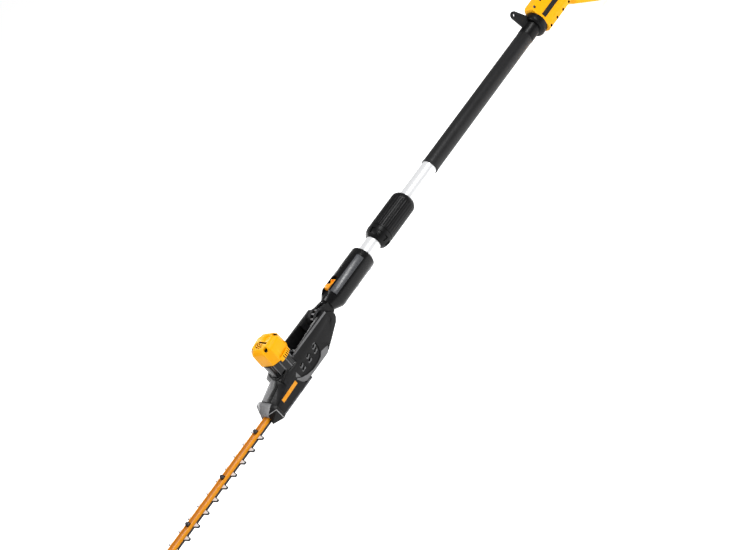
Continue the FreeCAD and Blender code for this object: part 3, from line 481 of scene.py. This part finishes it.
def strap_collar():
    """Turned band with a flat lug, whose eye takes the hook of a shoulder strap."""
    start = cad_span("strap_collar")[0].x
    profile = [(start, 15), (start, 17.6), (start + 0.8, 18), (FLANGE_X, 18), (FLANGE_X, 23),
               (FLANGE_X + 1, 24.2), (FLANGE_X + 4, 26.6), (FLANGE_X + 5.4, 27), (HOUSE_X - 1, 27),
               (HOUSE_X, 26), (HOUSE_X, 15)]
    collar = turn("strap_band", profile, "x", BLACK, POLE, 96)
    foot = [(565.5, 15), (592, 15), (592, 25), (EYE[0] + 8.2, EYE[1] + 2.6)]
    lug = prism("lug", foot + arc(LUG_R, 18, 198, 10, EYE), "y", -LUG_HALF, LUG_HALF, BLACK, POLE)
    combine(collar, [lug], "UNION")
    combine(collar, [disc(EYE_R, EYE, "y", -10, 10, 32, origin=POLE)])
    bevel(collar, 0.7, 2, 34)
    done(collar, "rear", "black_plastic", "strap_collar")


strap_collar()
dress("coupler_socket", BLACK)
dress("plug_female", BRASS)
dress("plug_male", GREY)

# ------------------------------------------------------------------ coupler nut
NUT_R, NUT_BORE = 25.6, 16.3
FLUTES, WINDOWS = 26, 10
FLUTE_DEPTH, WINDOW_DEPTH = 0.8, 2.3


def coupler_nut():
    """Clamp nut with a ring of windows at its mouth and shallow finger flutes behind them."""
    lo, hi = cad_span("coupler_collar")
    a, b = lo.x, hi.x
    mouth = [(a, NUT_BORE), (a, 17.2), (a + 1.2, 18.6), (a + 3.4, 20.8), (a + 6, 22.7), (a + 6.4, 22.9),
             (a + 9, 24), (a + 13, 25), (a + 17, 25.5)]
    waist = [(a + 17.4, NUT_R), (a + 23.5, NUT_R), (a + 24, 24.6), (a + 26.4, 24.6), (a + 27, NUT_R),
             (a + 30, NUT_R), (a + 32, NUT_R), (b - 14.5, NUT_R), (b - 12, NUT_R)]
    shoulder = [(b - 9, 25.4), (b - 6.5, 24.7), (b - 4.2, 23.4), (b - 2, 21.7), (b - 0.7, 19.7), (b, 18),
                (b, NUT_BORE)]

    def wave(angle, station, radius):
        if radius > NUT_R - 0.05 and a + 30 < station < b - 12:
            return radius - FLUTE_DEPTH * max(0.0, math.cos(angle * FLUTES)) ** 2
        if a + 6.2 < station < a + 17.2 and math.cos(angle * WINDOWS) > 0.1:
            return radius - WINDOW_DEPTH
        return radius

    nut = turn("coupler_nut", mouth + waist + shoulder, "x", BLACK, POLE, 260, wave)
    done(nut, "collar", "black_plastic", "coupler_collar")


coupler_nut()

# ------------------------------------------------------------------ adapter and its latch
ADAPTER_R, ADAPTER_BORE = 25, 12.3
SEAT_HALF, SLOT_HALF = 8.7, 3.4


def adapter_body():
    """Tapered sleeve with a flat seat and a slot for the latch, and a seam above and below."""
    lo, hi = cad_span("adapter_shell_left")
    a, b = lo.x, hi.x
    profile = [(a, ADAPTER_BORE), (a, 14.2), (a + 0.8, 15), (a + 2, 15.3), (a + 18.5, 24.3),
               (a + 20.5, ADAPTER_R), (b - 4.6, ADAPTER_R), (b - 2.6, 24.2), (b - 1, 22.6), (b - 1, 21.4),
               (b, 20.8), (b, 16.1), (a + 47, 16.1), (a + 47, ADAPTER_BORE)]
    adapter = turn("adapter_body", profile, "x", SATIN_BLACK, POLE, 96)
    cuts = [block((a - 2, -SEAT_HALF, 17), (a + 52, SEAT_HALF, 40), POLE),
            block((-176.5, -SLOT_HALF, 0), (-161.5, SLOT_HALF, 20), POLE)]
    for s in (1, -1):
        groove = [(-0.45, s * (ADAPTER_R + 1)), (0.45, s * (ADAPTER_R + 1)), (0, s * (ADAPTER_R - 0.8))]
        cuts.append(prism("cutter", groove, "x", a + 20, b - 1, BLACK, POLE))
    combine(adapter, cuts)
    bevel(adapter, 0.5, 2, 34)
    done(adapter, "front", "black_plastic", "adapter_shell_left", "adapter_shell_right")


def adapter_highlight_strip():
    """Curved strip let into the adapter's left shoulder; its grey is a painted highlight, where a band of
    reflected light runs along the glossy adapter.
    """
    lo, hi = cad_span("adapter_strip")
    band = arc(24.4, 25, 59, 17) + arc(25.7, 25, 59, 17)[::-1]
    strip = prism("adapter_highlight_strip", [(-y, z) for y, z in band], "x", lo.x, hi.x, HIGHLIGHT_STRIP, POLE, 0.35, 2)
    done(strip, "front", "grey_plastic", "adapter_strip")


def latch_slider():
    """Thumb lever with two ribs and a hollow, on a leg that reaches the pin."""
    lo = cad_span("latch_lever")[0]
    outline = [(-175.6, 17.2), (-149.4, 17.2), (-149.4, 18.6), (-151.5, 22.4), (-154, 22.8), (-157.5, 19.6),
               (-160, 19.4), (-162.5, 22), (-166, 25.6), (-171, 25.9), (-174, 23.5), (-175.6, 19.5)]
    lever = prism("latch_slider", outline, "y", -6.8, 6.8, LATCH, POLE, 1.0, 2)
    cuts = [block((-160.5, -3.6, 19), (-152.5, 3.6, 30), POLE)]
    for x in (-170.5, -168.2):
        cuts.append(prism("cutter", [(x, 26.4), (x + 1.2, 26.4), (x + 0.6, 25)], "y", -5, 5, LATCH, POLE))
    combine(lever, cuts)
    leg = block((-170.9, -2.9, lo.z - POLE.z), (-165.1, 2.9, 18), POLE, LATCH)
    combine(lever, [leg], "UNION")
    done(lever, "latch", "latch_orange", "latch_lever")


adapter_body()
adapter_highlight_strip()
latch_slider()

# ------------------------------------------------------------------ head shells, in (x, z) from the tilt axis
HEAD_HALF, CLEAR = 28, 40
PASSAGE_HALF, PASSAGE_TOP, PASSAGE_FLOOR = 10.1, -31.6, -41.8
SIDE = [(5, 17), (-112, 17), (-150, 0), (-160, -6), (-188, -12), (-188, -41.5), (-46, -41.5), (-25, -32),
        (8, -16), (15, -9.5), (17.5, -3), (16.5, 4.5)]
CORE = [(-31, -32), (-62, -26), (-84, -14), (-84, 2), (-146, 2), (-160, -6), (-188, -12), (-188, -41.5),
        (-46, -41.5)]
# the belly's scoop: its upper rim, its foot, and how far out the foot stands
RIM = [(-50, -7), (-50.5, -17), (-54, -26), (-62, -32.5), (-75, -35.5), (-90, -35.5), (-104, -32),
       (-116, -26), (-124, -19)]
FOOT = [(-48.5, -7), (-42, -18), (-35, -31), (-44, -45), (-70, -45), (-92, -45), (-112, -45), (-121, -33),
        (-126, -20)]
FOOT_Y = [28.02, 27.4, 26, 25, 24.4, 24.4, 24.8, 26, 27.8]
BROW_LINE = [(-52, -3), (-58, -2), (-66, -2), (-75, -2), (-85, -3), (-96, -4), (-108, -6), (-118, -9),
             (-124, -14)]
VENTS = [(-58, -8.5), (-79, -10), (-100, -11), (-61, -17), (-81, -19), (-101, -19.5)]
VENT_LONG, VENT_WIDE, VENT_FLOOR = 12, 6.6, 23.3


def room_inside():
    """Cutters for the motor, the gear case, the rotor's shaft, the crank's axle and the rail."""
    return [disc(30.4, (MOTOR_X, 0), "z", 2, 60, 72, origin=PIVOT),
            block((-179, -25.6, -60), (-107.5, 25.6, -19)),
            disc(8, (MOTOR_X, 0), "z", -21, 3, origin=PIVOT),
            disc(5.05, (CRANK_X, 0), "z", -20, -7, origin=PIVOT),
            block((-190, -PASSAGE_HALF, -45), (-178, PASSAGE_HALF, PASSAGE_TOP))]


def side_scoops(side):
    """The scoop in the belly, and the chamfer that leads into it from the arm above."""
    rim = [(x, side * (HEAD_HALF + 0.02), z) for x, z in RIM]
    foot = [(x, side * y, z) for (x, z), y in zip(FOOT, FOOT_Y)]
    lip = [(x - 1.6 if x > -60 else x, side * 26.3, z + 1.3) for x, z in RIM]
    brow = [(x, side * (HEAD_HALF + 0.05), z) for x, z in BROW_LINE]
    return [ruled(rim, foot, side * CLEAR), ruled(lip, brow, side * CLEAR)]


def vent_cuts(side):
    """Each vent is a sloping dish with a narrower pocket inside it."""
    cuts = []
    for x, z in VENTS:
        dish = pill((x, z), VENT_LONG, VENT_WIDE, 20)
        pocket = pill((x + 0.8, z + 1.4), 9, 3.4, 20)
        cuts.append(tub(dish, side * CLEAR, lambda u, w, z=z: side * (27.2 - 0.5 * (w - z + VENT_WIDE / 2))))
        cuts.append(prism("cutter", pocket, "y", side * CLEAR, side * VENT_FLOOR, BLACK, PIVOT))
    return cuts


def arm_cuts(side):
    """The neck's chamfer, the thin wall of the slot behind the motor, and the tilt bolt's recess."""
    neck = [(-148, 5, 3.5), (-148, 30, -12), (-202, 5, -11), (-202, 30, -27), (-148, 5, 30), (-148, 34, 30),
            (-202, 5, 30), (-202, 34, 30)]
    wall = [(-33, side * 12), (-33, side * 17), (-88, side * 23.5), (-88, side * 12)]
    return [hull("cutter", [(x, side * y, z) for x, y, z in neck]),
            prism("cutter", wall, "z", -13, 30, BLACK, PIVOT),
            disc(4.6, (0, 0), "y", side * 24.6, side * CLEAR, origin=PIVOT)]


def paint_head(shell, side):
    """Painted light and shade: painted reflection greys the scoop, painted highlight the arm top, pale painted
    light the far side of the neck; painted shade darkens the vents, with a painted highlight on one edge.
    """
    def scoop(at, f):
        return (-127 < at.x < -30 and at.z < -7 and 21 < at.y * side < HEAD_HALF - 0.05
                and 0.55 < f.normal.y * side < 0.995 and f.normal.z < -0.08)

    def arm_top(at, f):
        return (-90 < at.x < -4 and 0.15 < f.normal.y * side < 0.97 and 0.15 < f.normal.z < 0.97
                and at.y * side > 24)

    def neck(at, f):
        return -178 < at.x < -138 and at.y > -6 and f.normal.z > 0.5 and at.z > -30

    def in_vent(at, f):
        deep = at.y * side < 23.6 or at.y * side < 27.3 and f.normal.y * side < 0.95
        return deep and any((at.xz - Vector(vent)).length < 6.4 for vent in VENTS)

    def lit(at, f):
        return in_vent(at, f) and 0.82 < f.normal.y * side < 0.95 and at.y * side > 23.6

    # painted reflection on the belly scoop and painted highlight on the arm top
    paint(shell, PAINTED_SHEEN, PIVOT, lambda at, f: scoop(at, f) or arm_top(at, f))
    # painted light: the far side of the neck is painted pale
    paint(shell, PALE_GREY_AND_PAINTED_LIGHT, PIVOT, neck)
    # painted shade inside the vents
    paint(shell, RECESS_SHADE, PIVOT, in_vent)
    # painted highlight on the lit ramp of each vent
    paint(shell, PAINTED_SHEEN, PIVOT, lit)


def head_half(name, side, stands_for):
    shell = prism(name, SIDE, "y", side * HEAD_HALF, side * 12.8, BLACK, PIVOT)
    bevel(shell, 2.6, 2, 50)
    core = prism("core", CORE, "y", side * 13.5, 0, BLACK, PIVOT)
    combine(shell, [core], "UNION")
    combine(shell, room_inside() + side_scoops(side) + vent_cuts(side) + arm_cuts(side))
    bevel(shell, 0.5, 2, 30)
    paint_head(shell, side)
    done(shell, "head", "black_plastic", stands_for)


def plain_stripe():
    """The orange bar on the near side, without lettering."""
    outline = [(-130, -18), (-130, -25.5), (-174, -27), (-174, -19.5)]
    stripe = prism("plain_stripe", outline, "y", -HEAD_HALF - 0.35, -HEAD_HALF + 0.4, ORANGE, PIVOT, 0.2, 1)
    done(stripe, "head", "rail_orange")


head_half("head_half_near", -1, "head_shell_left")
head_half("head_half_far", 1, "head_shell_right")
plain_stripe()

# ------------------------------------------------------------------ motor housing
RING_R, RING_RIBS = 29.2, 14
STUD_R, STUD_ANGLES = 24.8, (-123, -33, 57, 147)
STUDS = [polar(STUD_R, d) for d in STUD_ANGLES]
FLAT_ANGLE, CORNER_ANGLE, HOOD_STEPS = 12, -123, 180
NEAR_ANGLE = FLAT_ANGLE - 90


def motor_base():
    """Ring under the hood, with grooves all round and a grey band down every rib as a painted highlight."""
    profile = [(2, 11), (2, 29.9), (4.5, 29.9), (5.5, RING_R), (6, RING_R), (29, RING_R), (30.2, RING_R),
               (31, 28.8), (31.4, 27.4), (32, 27.2), (32, 25.8), (5, 25.8), (5, 11)]

    def wave(angle, station, radius):
        if 5 < station < 30.5 and radius > 28.8:
            return radius - 0.5 * (math.cos(angle * RING_RIBS) > 0.7)
        return radius

    def rib_painted_highlight(at, f):
        middle = math.cos(math.atan2(at.y, at.x) * RING_RIBS) < -0.86
        return 5.5 < at.z < 30 and at.xy.length > 28 and middle

    ring = turn("motor_base", profile, "z", GLOSS_BLACK, MOTOR, 168, wave)
    # painted highlight: a lighter grey band down the middle of each rib
    paint(ring, PAINTED_SHEEN, MOTOR, rib_painted_highlight)
    done(ring, "head", "black_plastic", "motor_ring_base")


def motor_curb():
    """Collar round the ring that falls away towards the bar and is open behind."""
    profile = [(-4, 27), (-4, 30.6), (13.5, 30.6), (15.5, 31.4), (15.5, 33.2), (12, 34.2), (-4, 34.2)]
    curb = turn("motor_curb", profile, "z", BLACK, MOTOR, 96)
    for v in curb.data.vertices:
        away = v.co.x / MM - MOTOR.x
        drop = max(0.0, -away - 2) * 0.42
        if v.co.z / MM - MOTOR.z > 0:
            v.co.z = (MOTOR.z + max(1.6, v.co.z / MM - MOTOR.z - drop)) * MM
    combine(curb, [block((-190, -60, -20), (-60, 60, 1.2)),
                   block((-190, 27.9, -20), (-60, 60, 40)),
                   block((-190, -60, -20), (-60, -27.9, 40)),
                   block((-90, -23, -20), (-60, 23, 40))])
    # painted highlight: the curb's rounded edges are painted a lighter grey
    curb.data.materials.append(PAINTED_SHEEN)
    bevel(curb, 0.9, 2, 34, len(curb.data.materials) - 1)
    done(curb, "head", "black_plastic")


def hood_outline(flat, corner):
    """(angle, radius) round a square with cut corners; flat and corner are the distances to its sides."""
    sides = [(math.radians(FLAT_ANGLE + 90 * k), flat) for k in range(4)]
    sides += [(math.radians(CORNER_ANGLE + 90 * k), corner) for k in range(4)]
    points = []
    for k in range(HOOD_STEPS):
        t = 2 * math.pi * k / HOOD_STEPS
        points.append((t, min(d / math.cos(t - n) for n, d in sides if math.cos(t - n) > 0.2)))
    return points


def hood_blank():
    levels = ((31.8, 24, 26), (31.8, 26.8, 29.4), (32.6, 27.2, 29.8), (60, 26.4, 29.2), (61.5, 26, 28.8),
              (67.2, 21.2, 23.6), (68, 19.6, 22))
    bm = bmesh.new()
    loops = []
    for z, flat, corner in levels:
        rim = [(r * math.cos(t), r * math.sin(t), z) for t, r in hood_outline(flat, corner)]
        loops.append([bm.verts.new(v) for v in in_frame(rim, MOTOR)])
    loft(bm, loops)
    bm.faces.new(loops[0][::-1])
    bm.faces.new(loops[-1])
    return add("motor_hood", bm, YELLOW)


def motor_hood():
    """Hollow yellow cap with four screw wells; three curved slots, a straight one and a dish in its top."""
    cap = hood_blank()
    cuts = [disc(24.5, (0, 0), "z", 20, 63.5, 64, origin=MOTOR)]
    cuts += [disc(3.9, at, "z", 57, 80, 24, origin=MOTOR) for at in STUDS]
    for inner, outer, start, stop in ((6.4, 8, 100, 230), (10, 11.6, 105, 225), (13.6, 15.2, 110, 220)):
        ring = arc(outer, start, stop, 12) + arc(inner, start, stop, 12)[::-1]
        cuts.append(prism("cutter", ring, "z", 60, 80, YELLOW, MOTOR))
    cuts.append(block((-3.4, -15, 60), (0.2, 8, 80), MOTOR))
    cuts.append(disc(7, (9, -7), "z", 67, 80, 40, top=7.6, origin=MOTOR))
    combine(cap, cuts)

    def dark(at, f):
        well = at.z < 64.5 and any((at.xy - Vector(stud)).length < 4.2 for stud in STUDS)
        hollow = at.z < 63 and at.xy.length < 24.4
        slot = at.z < 67.4 and at.xy.length < 16.5 and abs(f.normal.z) < 0.3
        return well or hollow or slot

    # painted shade: the screw wells, the hollow and the slot walls are painted near-black
    paint(cap, RECESS_SHADE, MOTOR, dark)
    bevel(cap, 0.5, 2, 30)
    done(cap, "head", "yellow_plastic", "motor_cap")


def radial_slot(degrees, near, far, half):
    """Outline of a slot that runs straight outwards."""
    c, s = polar(1, degrees)
    ends = ((far, half), (far, -half), (near, -half), (near, half))
    return [(r * c - w * s, r * s + w * c) for r, w in ends]


def hood_skirt():
    """Curved lip under the hood's near side, with five slots."""
    out, across = polar(27.1, NEAR_ANGLE), polar(15, NEAR_ANGLE + 90)
    outline = [(out[0] + s * across[0], out[1] + s * across[1]) for s in (-1, 1)]
    outline += [polar(31.2, NEAR_ANGLE + d) for d in (26, 18, 8, 0, -8, -18, -26)]
    skirt = prism("hood_skirt", outline, "z", 27, 36, YELLOW, MOTOR, 0.8, 2)
    cuts = []
    for d in (-58, -66, -74, -82, -90):
        cuts.append(prism("cutter", radial_slot(d, 27, 33, 0.9), "z", 25, 34.5, YELLOW, MOTOR))
    combine(skirt, cuts + [disc(29.3, (0, 0), "z", 20, 31.7, 64, origin=MOTOR)])

    def dark(at, f):
        ceiling = 26 < at.z < 35 and at.xy.length < 33 and f.normal.xy.length < 0.5 and f.normal.z < -0.5
        sideways = abs(f.normal.x * at.y - f.normal.y * at.x) / max(at.xy.length, 1) > 0.9
        wall = sideways and 24 < at.xy.length < 31.6 and at.z < 34.6 and f.area < 60e-6
        return ceiling or wall

    # painted shade: the skirt's underside and its slot walls are painted near-black
    paint(skirt, RECESS_SHADE, MOTOR, dark)
    done(skirt, "head", "yellow_plastic")


def hood_screws():
    profile = [(57.9, 0.4), (57.9, 2.9), (60.4, 2.9), (61, 2.3), (61, 0.4)]
    for i, at in enumerate(STUDS):
        screw = turn(f"hood_screw_{i}", profile, "z", DARK_STEEL, MOTOR + Vector((*at, 0)), 24)
        done(screw, "head", "dark_steel")


motor_base()
motor_curb()
motor_hood()
hood_skirt()
hood_screws()

# ------------------------------------------------------------------ hand guard
CREST, FLAP, BROW = (-195, 32.2, -20), (-195, 32.2, -43.4), (-207, 14, -24)
GUARD_FLOOR = -44.4
BEAD_R = 0.9


def mirrored(points, *sides):
    return [(x, side * y, z) for side in sides for x, y, z in points]


def lobe(side):
    corners = [(-178.5, 27, -13), (-178.5, 27, -43), (-178.5, 15, -12), (-178.5, 11, GUARD_FLOOR), CREST,
               FLAP, (-210, 15, GUARD_FLOOR), (-213, 15.5, -42), BROW, (-195, 16, -16),
               (-206, 9, GUARD_FLOOR)]
    return hull("lobe", mirrored(corners, side))


def hand_guard():
    """Two lobes and the bridge between them, cut out for the rail and the head's nose."""
    guard = lobe(-1)
    far = lobe(1)
    middle = [(-178.5, 15.5, -12), (-195, 15.5, -17), (-206.5, 14.5, -26), (-208, 14, -31),
              (-208, 14, GUARD_FLOOR), (-178.5, 15.5, GUARD_FLOOR)]
    combine(guard, [far, hull("bridge", mirrored(middle, -1, 1))], "UNION")
    combine(guard, [block((-240, -PASSAGE_HALF, PASSAGE_FLOOR), (-170, PASSAGE_HALF, PASSAGE_TOP)),
                    block((-188.1, -60, -60), (-170, 60, 40))])
    # painted light: the upward faces of the far lobe and bridge are painted pale grey
    paint(guard, PALE_GREY_AND_PAINTED_LIGHT, PIVOT,
          lambda at, f: at.y > -7 and at.x < -184 and f.normal.z > -0.5 and at.z > -43)
    bevel(guard, 0.7, 2, 16)
    done(guard, "head", "black_plastic", "hand_guard")


def bead(side, end):
    """Thin raised edge from the crest of a lobe to another of its corners, painted light grey as a painted
    highlight along that edge.
    """
    around = ((1, 0, 0), (-1, 0, 0), (0, 1, 0), (0, -1, 0), (0, 0, 1), (0, 0, -1))
    tips = [Vector(p) + BEAD_R * Vector(d) for p in mirrored((CREST, end), side) for d in around]
    return hull("part", tips, BEAD_HIGHLIGHT)


hand_guard()
beads = gather("guard_beads", (bead(side, end) for side in (-1, 1) for end in (FLAP, BROW)), BEAD_HIGHLIGHT)
done(beads, "head", "grey_plastic")

# ------------------------------------------------------------------ cutting bar
RAIL_LOW, RAIL_HIGH = cad_span("blade_rail")
RAIL_TOP = RAIL_HIGH.z - POLE.z
RAIL_HALF, RAIL_DEEP = 9.2, 4.6
BOLT_HEAD_R, BOLT_PITCH, BOLT_COUNT = 4.5, 101, 6
FIRST_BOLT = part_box("blade_bolts")[0].x / MM + BOLT_HEAD_R
BOLT_X = [FIRST_BOLT + BOLT_PITCH * i for i in range(BOLT_COUNT)]


def rail():
    """Orange bar with a channel along its top and a seat for each bolt."""
    half, t = RAIL_HALF, RAIL_TOP
    shape = [(-half, t - RAIL_DEEP), (half, t - RAIL_DEEP), (half, t - 1.8), (8.4, t - 0.6), (7.4, t),
             (5.4, t - 0.1), (4, t - 1), (-4, t - 1), (-5.4, t - 0.1), (-7.4, t), (-8.4, t - 0.6),
             (-half, t - 1.8)]
    bar = prism("rail", shape, "x", RAIL_LOW.x, RAIL_HIGH.x, ORANGE, POLE)
    seats = [disc(4.9, (x, 0), "z", t - 1.1, t + 4, 32, origin=POLE) for x in BOLT_X]
    holes = [disc(2.7, (x, 0), "z", t - 12, t, 24, origin=POLE) for x in BOLT_X]
    combine(bar, seats + holes)
    bevel(bar, 0.3, 2, 34)
    # painted shade: the channel's floor is painted a deeper orange
    paint(bar, ORANGE_PAINTED_SHADE, POLE, lambda at, f: abs(at.y) < 4.6 and t - 1.3 < at.z < t - 0.2)
    done(bar, "head", "rail_orange", "blade_rail")


def bolt_parts():
    """Head, shank and hexagonal nut of every bolt."""
    t = RAIL_TOP
    head = [(t - 1, 0.4), (t - 1, 4.5), (t + 2.6, 4.5), (t + 3.6, 3.8), (t + 4, 2.9), (t + 5.4, 2.8),
            (t + 6, 2.2), (t + 6, 0.4)]
    shank = [(t - 12, 0.4), (t - 12, 2.4), (t - 0.8, 2.4), (t - 0.8, 0.4)]
    nut = [(t - 11.6, 0.5), (t - 11.6, 4.3), (t - 9.2, 4.5), (t - 9.2, 0.5)]
    for x in BOLT_X:
        for profile, steps in ((head, 24), (shank, 24), (nut, 6)):
            yield turn("part", profile, "z", DARK_STEEL, POLE + Vector((x, 0, 0)), steps)


rail()
done(gather("bar_bolts", bolt_parts(), DARK_STEEL), "head", "dark_steel", "blade_bolts")

TOOTH_X, TOOTH_PITCH, TOOTH_COUNT, FAR_SHIFT = -994, 27.2, 20, 8
TOOTH = [(0, -9), (1.2, -14), (2, -20), (3, -23.5), (7.4, -23.5), (8.8, -20), (10, -14), (11, -9)]
LAND = [(1.4, -9.2), (2.8, -14), (3.6, -19.6), (4.3, -21.7), (6.4, -21.7), (7.2, -19.6), (8.2, -14),
        (9.6, -9.2)]
FULL_HEIGHT = 0.6
BLADE_HALF, YOKE_HALF = 9.5, 16
BOLT_SLOT_HALF, CRANK_SLOT_HALF = (12.5, 2.8), 12.5


def comb(name, low, high, up):
    """Both rows of teeth of one blade, ground back to a smaller land on the outer face."""
    if up:
        levels = ((TOOTH, low), (TOOTH, low + FULL_HEIGHT), (LAND, high))
    else:
        levels = ((LAND, low), (TOOTH, high - FULL_HEIGHT), (TOOTH, high))
    bm = bmesh.new()
    for k in range(TOOTH_COUNT):
        for shift, flip in ((0, 1), (FAR_SHIFT, -1)):
            x = TOOTH_X + TOOTH_PITCH * k + shift
            rows = []
            for line, h in levels:
                corners = [(x + u, flip * w, h) for u, w in line]
                rows.append([bm.verts.new(v) for v in in_frame(corners, POLE)])
            bm.faces.new(rows[0])
            bm.faces.new(rows[2])
            for face in loft(bm, rows):
                face.material_index = 1
    return add(name, bm, (GROUND_STEEL, FLANK))


def blade(name, node, body, up):
    """Flat knife with teeth on both edges, slots for the bolts and a yoke with the crank's slot."""
    lo, hi = cad_span(node)
    low, high = lo.z - POLE.z, hi.z - POLE.z
    outline = [(-1020, -3), (-1016, -BLADE_HALF), (-393.5, -BLADE_HALF), (-390, -YOKE_HALF),
               (-353, -YOKE_HALF), (-353, YOKE_HALF), (-390, YOKE_HALF), (-393.5, BLADE_HALF),
               (-1016, BLADE_HALF), (-1020, 3)]
    obj = prism(name, outline, "z", low, high, (GROUND_STEEL, FLANK), POLE)
    for f in obj.data.polygons:
        f.material_index = 1
    combine(obj, [comb("teeth", low, high, up)], "UNION")
    long, wide = BOLT_SLOT_HALF
    slots = [block((x - long, -wide, -60), (x + long, wide, -20), POLE) for x in BOLT_X]
    combine(obj, slots + [block((-380, -CRANK_SLOT_HALF, -60), (-362, CRANK_SLOT_HALF, -20), POLE)])
    done(obj, body, "blade_steel", node)


blade("knife_upper", "blade_upper", "upper_blade", True)
blade("knife_lower", "blade_lower", "lower_blade", False)

# ------------------------------------------------------------------ CAD nodes that stay in view
for node, material in {
    "adapter_screws": BRIGHT_STEEL, "knuckle": BLACK, "latch_pin": BRIGHT_STEEL,
    "head_screws": DARK_STEEL, "pivot_bolt": BLACK, "index_disc": PALE_GREY_AND_PAINTED_LIGHT,
    "motor_stator": COPPER, "motor_rotor": DARK_STEEL, "cooling_fan": GREY, "motor_bearings": BRIGHT_STEEL,
    "pinion": BRIGHT_STEEL, "crank_gear": BRIGHT_STEEL, "gear_case_cover": DARK_STEEL,
    "cover_screws": DARK_STEEL,
    "handle_shell_left": YELLOW, "handle_shell_right": YELLOW, "handle_screws": DARK_STEEL,
    "grip_overmold": RUBBER, "side_panels": RUBBER, "control_board": CIRCUIT, "switch_module": BLACK,
    "terminal_block": BRASS, "trigger_pin": BRIGHT_STEEL, "trigger": RED, "lockoff_button": BLACK,
    "battery_case_lower": BLACK, "battery_case_upper": BLACK, "battery_cells": CELL, "release_button": YELLOW,
    "gauge_button": GREY,
}.items():
    dress(node, material)

# painted shade: the handle's screw seats are painted near-black
SEAT_R = 3.9
SEATS = [(611 + 25.4 * i, -19.2) for i in range(5)] + [(611.5, 33), (635, 33)]
for name in ("handle_shell_left", "handle_shell_right"):
    part = frame["nodes"][name]
    part.data.materials.append(RECESS_SHADE)
    for f in part.data.polygons:
        at = part.matrix_world @ f.center / MM - POLE
        if any((at.xz - Vector(seat)).length < SEAT_R for seat in SEATS):
            f.material_index = len(part.data.materials) - 1
